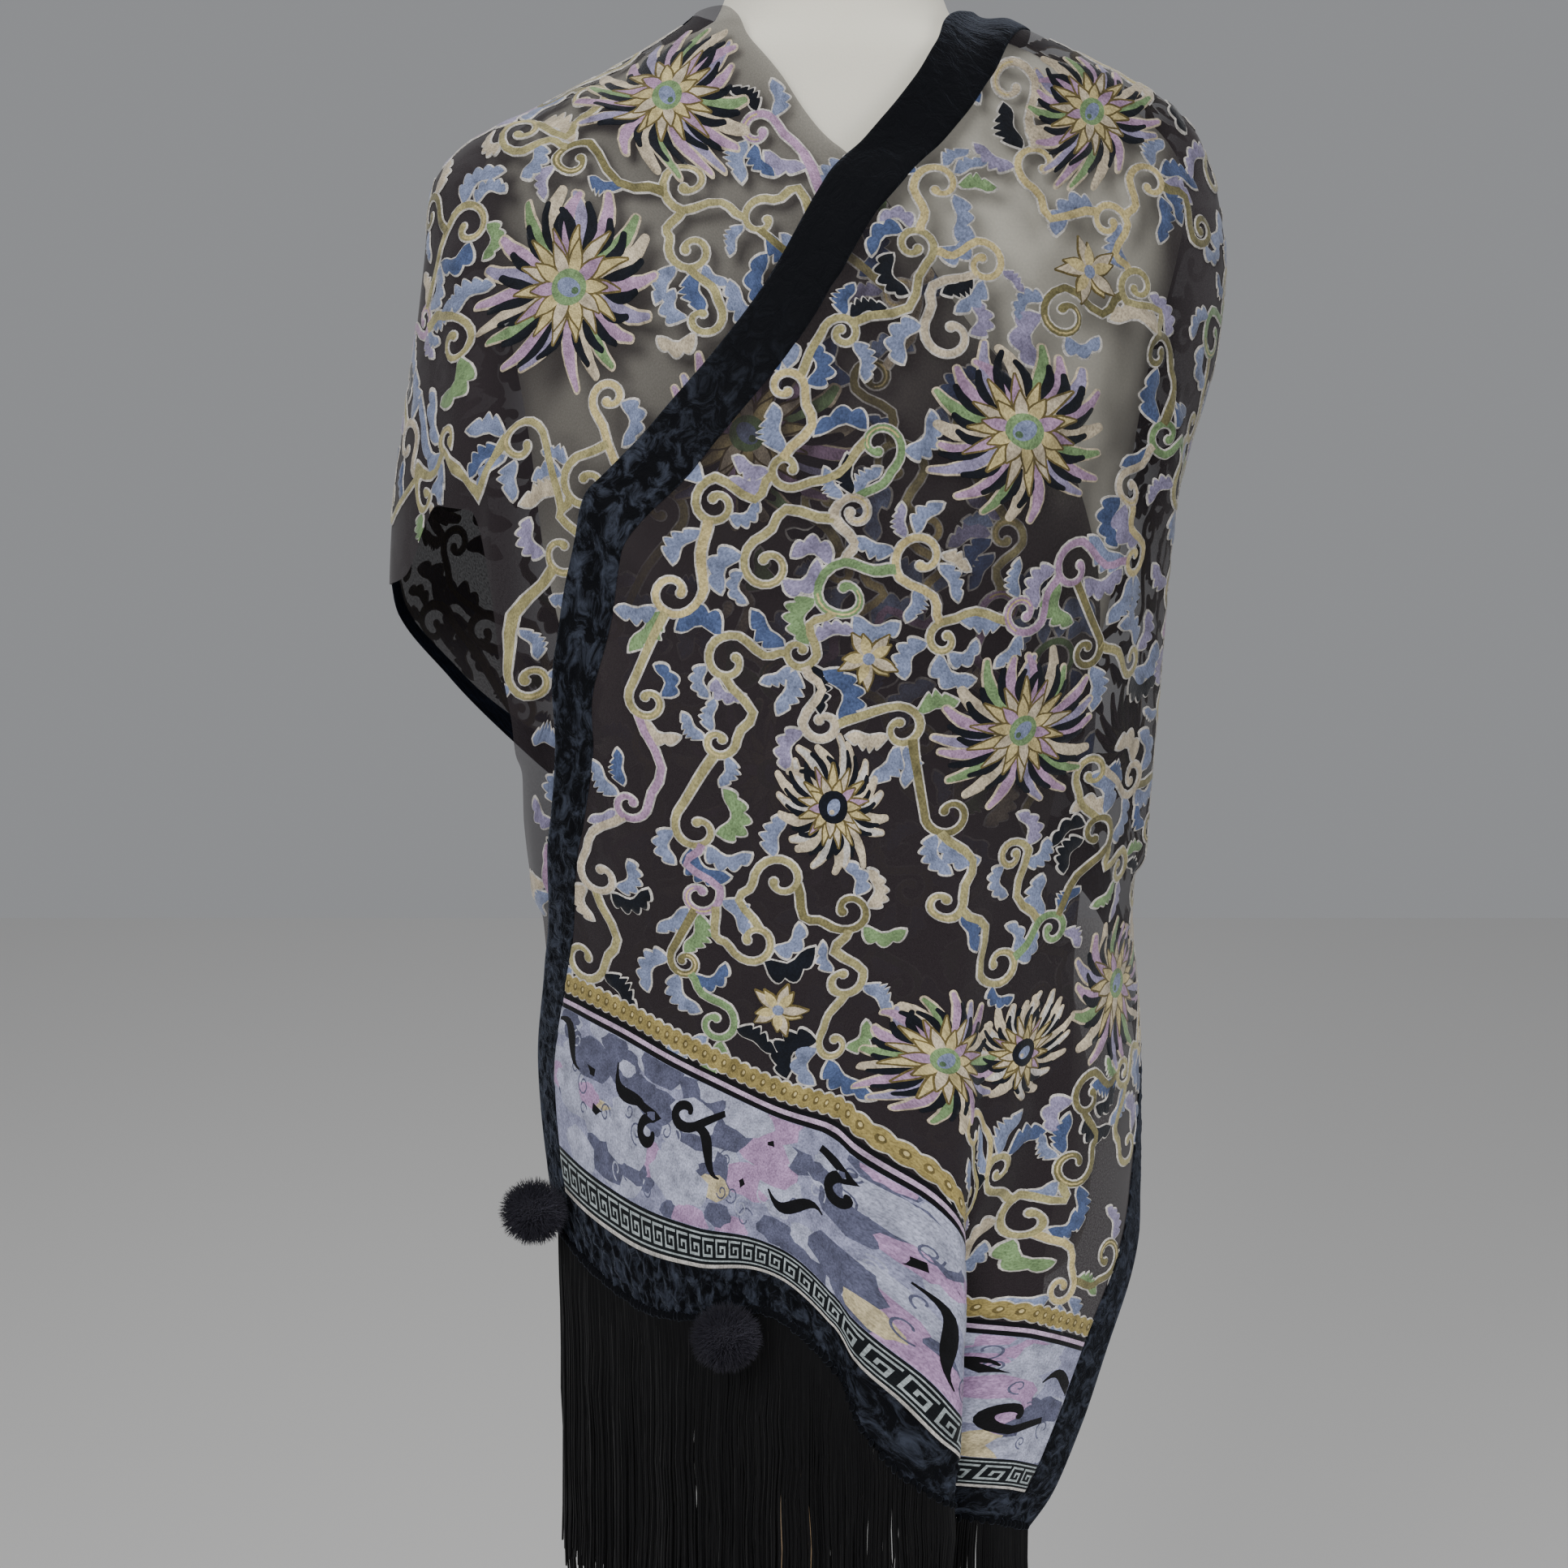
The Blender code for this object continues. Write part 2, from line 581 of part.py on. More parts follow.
def make_over(parent):
    """Makes the stretch that lies on top, with its borders and end facing."""
    inner = BORDER_SHARE
    outer = 1 - BORDER_SHARE
    cells = OVER_CELLS
    cloth = OVER.grid((inner, outer), (0, OVER_FACING), cells)
    cloth_wall("shawl_over_panel", cloth, "burnout", parent)
    along = (0, OVER_FACING)
    strip = (BORDER_CELLS, cells[1])
    rows = OVER.grid((0, inner - SEAM_SHARE), along, strip)
    cloth_wall("shawl_over_border_inner", rows, "velvet", parent)
    rows = OVER.grid((outer + SEAM_SHARE, 1), along, strip)
    cloth_wall("shawl_over_border_outer", rows, "velvet", parent)
    rows = OVER.grid_below(OVER_FACING, OVER_SEAM, OVER_END, (cells[0], FACING_CELLS))
    cloth_wall("shawl_over_end_facing", rows, "velvet", parent)


def make_under(parent):
    """Makes the stretch that goes in under the other one."""
    rows = UNDER.grid((0, 1), (0, UNDER_FACING), UNDER_CELLS)
    cloth_wall("shawl_under_panel", rows, "burnout", parent)
    rows = UNDER.grid_below(UNDER_FACING, UNDER_SEAM, UNDER_END, (UNDER_CELLS[0], FACING_CELLS))
    cloth_wall("shawl_under_end_facing", rows, "velvet", parent)


def make_back(parent):
    """Makes the stretch round the shoulders and the back, with both borders."""
    inner = BORDER_SHARE
    outer = 1 - BORDER_SHARE
    along = (SEAM_STEP, BACK_END - SEAM_STEP)
    rows = BACK.grid((inner, outer), along, BACK_CELLS)
    cloth_wall("shawl_back_panel", rows, "burnout", parent)
    strip = (BORDER_CELLS, BACK_CELLS[1])
    rows = BACK.grid((0, inner - SEAM_SHARE), along, strip)
    cloth_wall("shawl_back_border_neck", rows, "velvet", parent)
    rows = BACK.grid((outer + SEAM_SHARE, 1), along, strip)
    cloth_wall("shawl_back_border_lower", rows, "velvet", parent)


def fringe(name, stretch, end, gap, tufts, strands, per_face, parent):
    """Makes a narrow strip along a hem with a row of hanging strands."""
    chance = random.Random(strands)
    work = bmesh.new()

    def corners(share):
        at_hem = stretch.point(share, end)
        hem_way = stretch.point(share + ACROSS_STEP, end) - stretch.point(share - ACROSS_STEP, end)
        cloth_way = at_hem - stretch.point(share, end - ALONG_STEP)
        out = hem_way.cross(cloth_way).normalized()
        down = out.cross(hem_way).normalized()
        middle = at_hem + down * gap
        low = middle + down * STRIP_HEIGHT
        out *= STRIP_WALL / 2
        return [work.verts.new(p) for p in (middle + out, middle - out, low - out, low + out)]

    spare = (1 - STRAND_SHARE) / 2
    groups = strands // per_face
    bottoms = []
    start = previous = None
    for group in range(groups):
        front, back = [], []
        if start is None:
            start = previous = corners(0.0)
            work.faces.new(start)
        left = previous
        front.append(left[3])
        back.append(left[2])
        low = (left[3], left[2])
        for k in range(per_face):
            base = group * per_face + k
            pair = []
            for part in (spare, 1 - spare):
                spot = corners((base + part) / strands)
                for vert in spot[:2]:
                    work.verts.remove(vert)
                front.append(spot[3])
                back.append(spot[2])
                pair.append((spot[3], spot[2]))
            work.faces.new((low[0], low[1], pair[0][1], pair[0][0]))
            share = (base + 0.5) / strands
            face = work.faces.new((pair[0][0], pair[0][1], pair[1][1], pair[1][0]))
            if not stretch.rises or abs(stretch.fold_share(share, end)) > BARE_FOLD:
                bottoms.append((face, share))
            low = pair[1]
        right = corners((group + 1) * per_face / strands)
        front.append(right[3])
        back.append(right[2])
        work.faces.new((low[0], low[1], right[2], right[3]))
        work.faces.new([left[0]] + front + [right[0]])
        work.faces.new(([left[1]] + back + [right[1]])[::-1])
        work.faces.new((left[0], right[0], right[1], left[1]))
        previous = right
    work.faces.new(previous[::-1])

    keys = [row.share for row in tufts]
    for face, share in bottoms:
        length = hermite_row(tufts, keys, share, ("length",))[0] * chance.uniform(*STRAND_UNEVEN)
        made = bmesh.ops.extrude_discrete_faces(work, faces=[face])["faces"][0]
        centre = made.calc_center_median()
        for vert in made.verts:
            vert.co = centre + (vert.co - centre) * STRAND_TAPER
            vert.co.z = centre.z - length
    bmesh.ops.recalc_face_normals(work, faces=work.faces)
    mesh = bpy.data.meshes.new(name)
    work.to_mesh(mesh)
    work.free()
    add_object(name, mesh, "rayon", parent)


def pompom(name, middle_of_wall, out, clear, parent):
    """Makes a fur ball with short locks, just clear of the cloth that carries it."""
    chance = random.Random(name)
    centre = middle_of_wall + out * (POMPOM_RADIUS + LOCK_LENGTH + clear)
    work = bmesh.new()
    bmesh.ops.create_icosphere(work, subdivisions=2, radius=POMPOM_RADIUS)
    for vert in work.verts:
        vert.co.z *= POMPOM_FLATNESS
    picked = sorted(work.faces, key=lambda face: face.index)
    chance.shuffle(picked)
    for face in picked[:LOCKS_PER_POMPOM]:
        normal = face.normal.copy()
        made = bmesh.ops.extrude_discrete_faces(work, faces=[face])["faces"][0]
        middle = made.calc_center_median()
        for vert in made.verts:
            vert.co = middle + (vert.co - middle) * LOCK_TAPER + normal * LOCK_LENGTH
    for vert in work.verts:
        vert.co += centre
    bmesh.ops.recalc_face_normals(work, faces=work.faces)
    mesh = bpy.data.meshes.new(name)
    work.to_mesh(mesh)
    work.free()
    add_object(name, mesh, "fur", parent)


def make_trim(parent):
    """Makes both fringes and the two pompoms on the hem of the over stretch."""
    over = (OVER, OVER_END, OVER_STRIP_GAP, OVER_TUFTS, OVER_STRANDS, 1)
    fringe("fringe_over", *over, parent)
    under = (UNDER, UNDER_END, UNDER_STRIP_GAP, UNDER_TUFTS, UNDER_STRANDS, 3)
    fringe("fringe_under", *under, parent)
    for seat in POMPOM_SEATS:
        along = OVER_END - seat.along
        angle, z = OVER.place(seat.across, along)
        spot = OVER.point(seat.across, along) - Vector((0, 0, seat.drop))
        pompom(seat.name, spot, drape_normal(angle, z), seat.clear, parent)


def main():
    """Clears the scene and builds the whole thing."""
    for item in list(bpy.data.objects):
        bpy.data.objects.remove(item, do_unlink=True)
    collection = bpy.data.collections.new(COLLECTION_NAME)
    bpy.context.scene.collection.children.link(collection)
    parent = bpy.data.objects.new("shawl_on_form", None)
    collection.objects.link(parent)
    make_form(parent)
    make_stand(parent)
    make_under(parent)
    make_over(parent)
    make_back(parent)
    make_trim(parent)


main()
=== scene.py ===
"""A burnout velvet shawl on a limbless dress form, dressed for the camera.

The CAD solids give the frame. The cloth is laid again here as thin shells on the same
drape: a sheer ground, and on it the velvet pile of vines, leaves and flowers that the
burnout leaves standing. Metres, +Z up, the front faces -Y.
"""

import logging
import math
import random
from dataclasses import dataclass, field
from enum import Enum
from typing import Dict, List, NamedTuple, Optional, Sequence, Tuple

import bpy
import numpy as np
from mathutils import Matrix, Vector
from mathutils.geometry import delaunay_2d_cdt


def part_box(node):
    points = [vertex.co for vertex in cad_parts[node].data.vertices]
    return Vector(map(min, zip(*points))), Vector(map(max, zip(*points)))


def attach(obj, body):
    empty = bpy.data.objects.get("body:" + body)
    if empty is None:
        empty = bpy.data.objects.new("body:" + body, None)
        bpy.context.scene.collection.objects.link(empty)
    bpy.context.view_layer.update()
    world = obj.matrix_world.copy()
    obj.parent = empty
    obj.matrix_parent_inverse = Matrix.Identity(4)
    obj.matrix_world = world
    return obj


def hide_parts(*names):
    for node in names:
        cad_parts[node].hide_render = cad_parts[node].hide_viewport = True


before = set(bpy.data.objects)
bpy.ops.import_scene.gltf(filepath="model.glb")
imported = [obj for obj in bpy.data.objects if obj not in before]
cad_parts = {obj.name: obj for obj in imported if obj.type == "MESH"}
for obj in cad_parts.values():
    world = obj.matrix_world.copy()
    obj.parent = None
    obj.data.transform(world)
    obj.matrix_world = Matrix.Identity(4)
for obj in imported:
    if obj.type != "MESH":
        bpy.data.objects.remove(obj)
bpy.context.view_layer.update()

LOG = logging.getLogger("shawl")

# The form's axis in metres, the roundness of its sections, where the lights look, the
# cloth's width in millimetres and the share of it that each border takes.
FORM_X = 0.0166
SECTION_POWER = 2.25
CHEST = (FORM_X, 0, 1.15)
CLOTH_WIDTH = 450.0
BORDER_SHARE = 0.058


def linear(code: str) -> Tuple[float, float, float]:
    """Turns an sRGB hex colour into linear values.

    Args:
        code: Six hex digits, with or without a leading #.

    Returns:
        Red, green and blue, linear, from 0 to 1.
    """
    digits = code.lstrip("#")
    values = [int(digits[i:i + 2], 16) / 255.0 for i in (0, 2, 4)]
    return tuple(v / 12.92 if v <= 0.04045 else ((v + 0.055) / 1.055) ** 2.4 for v in values)


class Section(NamedTuple):
    """A level of the form or the drape: how far it reaches to each side."""

    z: float
    left: float
    right: float
    front: float
    back: float


class Line(NamedTuple):
    """A cross line of the cloth: where it starts and ends, its lift and its deep fold."""

    in_angle: float
    in_z: float
    out_angle: float
    out_z: float
    in_lift: float = 0.003
    out_lift: float = 0.003
    fold_at: float = 0.50
    fold_half: float = 0.10


class Rise(NamedTuple):
    """How far a cross line stands above a straight one, at the stripe and at the hem."""

    share: float
    at_stripe: float
    at_hem: float


class Crease(NamedTuple):
    """A soft ridge or trough on the front (side -1) or the back (side 1)."""

    side: int
    x1: float
    z1: float
    x2: float
    z2: float
    height: float
    width: float


FORM_SECTIONS = (
    Section(1.530, 0.054, 0.054, 0.053, 0.054),
    Section(1.480, 0.054, 0.054, 0.053, 0.055),
    Section(1.462, 0.060, 0.060, 0.055, 0.059),
    Section(1.448, 0.0903, 0.0960, 0.058, 0.0715),
    Section(1.432, 0.1190, 0.1285, 0.059, 0.0795),
    Section(1.415, 0.151, 0.158, 0.061, 0.087),
    Section(1.398, 0.174, 0.174, 0.064, 0.091),
    Section(1.380, 0.183, 0.182, 0.073, 0.095),
    Section(1.340, 0.176, 0.176, 0.090, 0.099),
    Section(1.300, 0.166, 0.166, 0.105, 0.104),
    Section(1.250, 0.158, 0.158, 0.119, 0.105),
    Section(1.200, 0.153, 0.153, 0.126, 0.103),
    Section(1.165, 0.147, 0.147, 0.123, 0.099),
    Section(1.120, 0.136, 0.136, 0.112, 0.093),
    Section(1.070, 0.124, 0.124, 0.098, 0.087),
    Section(1.030, 0.118, 0.118, 0.092, 0.084),
    Section(0.990, 0.123, 0.123, 0.095, 0.089),
    Section(0.940, 0.138, 0.138, 0.102, 0.101),
    Section(0.870, 0.150, 0.150, 0.112, 0.113),
    Section(0.825, 0.149, 0.149, 0.112, 0.112),
    Section(0.806, 0.145, 0.145, 0.109, 0.109),
    Section(0.800, 0.138, 0.138, 0.103, 0.103),
)

DRAPE_SECTIONS = (
    Section(1.480, 0.060, 0.060, 0.056, 0.058),
    Section(1.462, 0.068, 0.068, 0.060, 0.064),
    Section(1.448, 0.088, 0.094, 0.061, 0.070),
    Section(1.432, 0.118, 0.130, 0.062, 0.078),
    Section(1.415, 0.152, 0.163, 0.064, 0.086),
    Section(1.398, 0.186, 0.183, 0.068, 0.093),
    Section(1.380, 0.201, 0.192, 0.078, 0.098),
    Section(1.340, 0.207, 0.198, 0.096, 0.105),
    Section(1.300, 0.213, 0.195, 0.112, 0.110),
    Section(1.250, 0.222, 0.182, 0.127, 0.112),
    Section(1.200, 0.229, 0.171, 0.132, 0.112),
    Section(1.165, 0.231, 0.166, 0.132, 0.110),
    Section(1.120, 0.212, 0.162, 0.130, 0.108),
    Section(1.070, 0.184, 0.158, 0.126, 0.106),
    Section(1.000, 0.160, 0.155, 0.121, 0.108),
    Section(0.940, 0.156, 0.160, 0.120, 0.116),
    Section(0.870, 0.157, 0.163, 0.122, 0.120),
    Section(0.800, 0.155, 0.167, 0.124, 0.120),
    Section(0.740, 0.154, 0.164, 0.124, 0.118),
    Section(0.660, 0.152, 0.158, 0.123, 0.116),
)

OVER_LINES = (
    Line(20, 1.463, 72, 1.000, 0.003, 0.003, 0.50, 0.14),
    Line(-30, 1.463, 56, 1.000, 0.003, 0.003, 0.50, 0.14),
    Line(-64, 1.447, 44, 1.000, 0.004, 0.003, 0.50, 0.14),
    Line(-81, 1.422, 33, 0.995, 0.007, 0.004, 0.50, 0.14),
    Line(-89, 1.393, 24, 0.985, 0.010, 0.006, 0.50, 0.14),
    Line(-98, 1.330, 13, 0.960, 0.012, 0.009, 0.52, 0.14),
    Line(-110, 1.272, 3, 0.925, 0.013, 0.011, 0.55, 0.14),
    Line(-119, 1.232, -4, 0.893, 0.013, 0.012, 0.58, 0.14),
    Line(-121, 1.182, -9, 0.866, 0.013, 0.012, 0.60, 0.14),
    Line(-126, 1.120, -14, 0.842, 0.013, 0.012, 0.63, 0.14),
    Line(-138, 1.055, -21, 0.820, 0.014, 0.014, 0.66, 0.15),
    Line(-149, 0.985, -34, 0.778, 0.015, 0.015, 0.68, 0.15),
    Line(-155, 0.930, -42, 0.734, 0.015, 0.016, 0.72, 0.15),
    Line(-151, 0.874, -49, 0.697, 0.015, 0.016, 0.76, 0.15),
    Line(-147, 0.841, -54, 0.682, 0.015, 0.016, 0.785, 0.145),
)

UNDER_LINES = (
    Line(-180, 1.462, -180, 1.175),
    Line(-142, 1.466, -158, 1.190),
    Line(-118, 1.452, -148, 1.228),
    Line(-101, 1.434, -140, 1.228),
    Line(-89, 1.397, -134, 1.195),
    Line(-82, 1.361, -132, 1.155),
    Line(-75, 1.323, -136, 1.110),
    Line(-66, 1.290, -147, 1.065),
    Line(-52, 1.240, -157, 1.016),
    Line(-41, 1.170, -159, 0.978),
    Line(-38, 1.060, -149, 0.945),
    Line(-42, 0.920, -139, 0.925),
    Line(-50, 0.830, -132, 0.900, 0.001, 0.001),
)

BACK_LINES = (
    Line(20, 1.463, 72, 1.000),
    Line(50, 1.456, 90, 0.985),
    Line(80, 1.447, 106, 0.985),
    Line(105, 1.448, 122, 1.000),
    Line(130, 1.456, 140, 1.032),
    Line(152, 1.462, 157, 1.078),
    Line(168, 1.463, 168, 1.125),
    Line(180, 1.462, 180, 1.175),
)

OVER_RISES = (
    Rise(0.00, 0.000, 0.000),
    Rise(0.10, 0.020, 0.002),
    Rise(0.20, 0.033, 0.008),
    Rise(0.35, 0.046, 0.033),
    Rise(0.50, 0.055, 0.064),
    Rise(0.58, 0.036, 0.052),
    Rise(0.64, 0.008, 0.022),
    Rise(0.68, -0.008, -0.006),
    Rise(0.72, -0.012, -0.016),
    Rise(0.76, -0.013, -0.018),
    Rise(0.82, -0.009, -0.014),
    Rise(0.90, -0.004, -0.006),
    Rise(1.00, 0.000, 0.000),
)

OVER_CREASES = (
    Crease(-1, 0.080, 1.447, 0.182, 1.404, 0.009, 0.010),
    Crease(-1, 0.116, 1.396, 0.107, 1.318, 0.004, 0.008),
    Crease(-1, 0.146, 1.312, 0.056, 1.238, 0.006, 0.009),
    Crease(-1, 0.086, 1.292, 0.026, 1.231, -0.002, 0.014),
    Crease(-1, -0.112, 1.240, -0.084, 1.196, 0.004, 0.007),
    Crease(-1, -0.122, 1.222, -0.094, 1.166, -0.002, 0.007),
    Crease(-1, -0.128, 1.200, -0.108, 1.130, 0.003, 0.007),
    Crease(-1, 0.092, 1.120, 0.090, 1.040, -0.003, 0.016),
    Crease(-1, 0.160, 1.270, 0.150, 1.040, 0.007, 0.009),
    Crease(-1, 0.135, 1.230, 0.126, 1.010, 0.004, 0.010),
    Crease(-1, -0.095, 1.020, -0.104, 0.820, -0.002, 0.018),
    Crease(-1, -0.022, 1.000, -0.022, 0.810, 0.007, 0.020),
    Crease(-1, 0.040, 0.930, 0.036, 0.740, -0.002, 0.016),
)

UNDER_CREASES = (
    Crease(-1, -0.099, 1.432, -0.094, 1.385, -0.002, 0.007),
    Crease(-1, -0.120, 1.418, -0.036, 1.352, 0.004, 0.008),
    Crease(-1, -0.160, 1.404, -0.080, 1.345, 0.003, 0.009),
    Crease(-1, -0.140, 1.372, -0.062, 1.306, 0.005, 0.009),
    Crease(-1, -0.182, 1.350, -0.180, 1.250, 0.004, 0.010),
    Crease(-1, -0.163, 1.245, -0.158, 1.110, 0.005, 0.008),
    Crease(-1, -0.146, 1.240, -0.140, 1.080, -0.002, 0.007),
    Crease(-1, -0.150, 1.160, -0.148, 1.020, 0.004, 0.007),
)

BACK_CREASES = (
    Crease(1, -0.120, 1.372, 0.000, 1.318, 0.005, 0.012),
    Crease(1, 0.000, 1.318, 0.120, 1.372, 0.005, 0.012),
    Crease(1, -0.150, 1.292, 0.010, 1.214, 0.006, 0.014),
    Crease(1, 0.010, 1.214, 0.140, 1.262, 0.005, 0.014),
    Crease(1, -0.150, 1.196, -0.020, 1.116, 0.005, 0.015),
    Crease(1, -0.020, 1.116, 0.110, 1.130, 0.004, 0.015),
    Crease(1, -0.196, 1.375, -0.192, 1.170, 0.006, 0.011),
)

# Where the ground lets light through: table rows along the cloth and opacity. Lower down it is
# drawn denser, painted shade for the form that lies in shadow under the cloth below the bust.
OVER_OPACITY = ((0, 0.42), (2, 0.36), (4, 0.36), (6, 0.60), (7, 0.80), (8, 0.90), (14, 0.94))
UNDER_OPACITY = ((0, 0.62), (3, 0.58), (6, 0.66), (8, 0.80), (12, 0.9))
BACK_OPACITY = ((0, 0.45), (7, 0.45))
# How bright the pile is drawn along the cloth: painted shade, darker towards the top of the over
# stretch and on the under and back stretches.
OVER_SHADE = ((0, 0.55), (4, 0.62), (6, 0.80), (8, 1.0), (14, 1.0))
UNDER_SHADE = ((0, 0.8), (12, 0.95))
BACK_SHADE = ((0, 0.75), (7, 0.75))

# How long the fringes hang, in metres, by the share across.
OVER_TUFTS = ((0.00, 0.205), (0.25, 0.180), (0.50, 0.158), (0.75, 0.160), (1.00, 0.165))
UNDER_TUFTS = ((0.00, 0.135), (1.00, 0.135))

# Table rows along the over stretch: where its cross lines start to bow, the gold stripe, the
# key band's lower edge, and the rows between which the border goes from smooth to crushed.
RISE_START = 6.0
STRIPE_LINE = 11.0
KEY_LINE = 13.05
BEND_LINES = (4.8, 6.6)


@dataclass(frozen=True)
class DeepFold:
    """The deep fold low in the over stretch, in table rows and shares of its width."""

    raised: Tuple[float, float] = (7.2, 9.6)
    start: float = 9.2
    full: float = 11.8
    back: float = 2.3
    out: float = 0.010
    inward: float = 0.008
    nose: Tuple[float, float] = (0.12, 0.56)
    foot: Tuple[float, float] = (0.60, 1.00)


class Table:
    """Smooth curves through the rows of a table, read at many places at once."""

    def __init__(self, keys: Sequence[float], columns: Sequence[Sequence[float]]) -> None:
        """Prepares the slopes between the rows.

        Args:
            keys: The rows' keys, all rising or all falling.
            columns: One row of values for each key.
        """
        self.keys = np.asarray(keys, float)
        self.columns = np.asarray(columns, float)
        if self.keys[0] > self.keys[-1]:
            self.keys, self.columns = self.keys[::-1], self.columns[::-1]
        self.span = np.diff(self.keys)
        step = np.diff(self.columns, axis=0) / self.span[:, None]
        before, after = step[:-1], step[1:]
        total = np.where(before + after == 0, 1.0, before + after)
        inner = np.where(before * after > 0, 2 * before * after / total, 0.0)
        self.low = np.vstack([step[:1], inner])
        self.high = np.vstack([inner, step[-1:]])

    def read(self, at: np.ndarray) -> np.ndarray:
        """Reads all columns.

        Args:
            at: The keys to read at.

        Returns:
            One row of values for each key.
        """
        at = np.atleast_1d(np.asarray(at, float))
        cell = np.clip(np.searchsorted(self.keys, at, side="right") - 1, 0, len(self.keys) - 2)
        span = self.span[cell][:, None]
        t = np.clip((at - self.keys[cell])[:, None] / span, 0, 1)
        t2, t3 = t * t, t * t * t
        return (
            (2 * t3 - 3 * t2 + 1) * self.columns[cell]
            + (t3 - 2 * t2 + t) * span * self.low[cell]
            + (3 * t2 - 2 * t3) * self.columns[cell + 1]
            + (t3 - t2) * span * self.high[cell]
        )


def smooth_step(value: np.ndarray, low: float, high: float) -> np.ndarray:
    """Goes from 0 at low to 1 at high without a kink.

    Args:
        value: The values.
        low: Where the result is 0.
        high: Where the result is 1.

    Returns:
        The smoothed shares.
    """
    t = np.clip((np.asarray(value, float) - low) / (high - low), 0, 1)
    return t * t * (3 - 2 * t)


class Hull:
    """A closed form given by its sections, such as the torso or the drape over it."""

    def __init__(self, sections: Sequence[Section]) -> None:
        """Prepares the table of sections.

        Args:
            sections: The levels, from the top down.
        """
        self.table = Table([row.z for row in sections], [row[1:] for row in sections])

    def point(self, angle: np.ndarray, z: np.ndarray) -> np.ndarray:
        """Gives points at angles (degrees) and heights, as rows of x, y and z."""
        angle, z = np.broadcast_arrays(np.asarray(angle, float), np.asarray(z, float))
        left, right, front, back = self.table.read(z.ravel()).T
        c, s = np.cos(np.radians(angle.ravel())), np.sin(np.radians(angle.ravel()))
        wide, deep = np.where(c > 0, right, left), np.where(s > 0, back, front)
        power = 2 / SECTION_POWER
        x = FORM_X + wide * np.sign(c) * np.abs(c) ** power
        y = deep * np.sign(s) * np.abs(s) ** power
        return np.stack([x, y, z.ravel()], axis=1)

    def normal(self, angle: np.ndarray, z: np.ndarray) -> np.ndarray:
        """Gives the outward directions at angles and heights."""
        turn = self.point(angle + 1.0, z) - self.point(angle - 1.0, z)
        rise = self.point(angle, z + 0.004) - self.point(angle, z - 0.004)
        out = np.cross(turn, rise)
        return out / np.linalg.norm(out, axis=1, keepdims=True)


DRAPE = Hull(DRAPE_SECTIONS)


def crease_heights(creases: Sequence[Crease], points: np.ndarray, angle: np.ndarray) -> np.ndarray:
    """Adds up the ridges and troughs near points.

    Args:
        creases: The creases to add.
        points: Places on the drape.
        angle: Their angles round the form.

    Returns:
        The heights in metres.
    """
    facing = np.sin(np.radians(angle))
    total = np.zeros(len(points))
    for crease in creases:
        fade = smooth_step(crease.side * facing, 0.0, 0.35)
        dx, dz = crease.x2 - crease.x1, crease.z2 - crease.z1
        px, pz = points[:, 0] - FORM_X - crease.x1, points[:, 2] - crease.z1
        share = np.clip((px * dx + pz * dz) / (dx * dx + dz * dz), 0, 1)
        away = np.hypot(px - share * dx, pz - share * dz)
        total += fade * crease.height * np.exp(-((away / crease.width) ** 2))
    return total


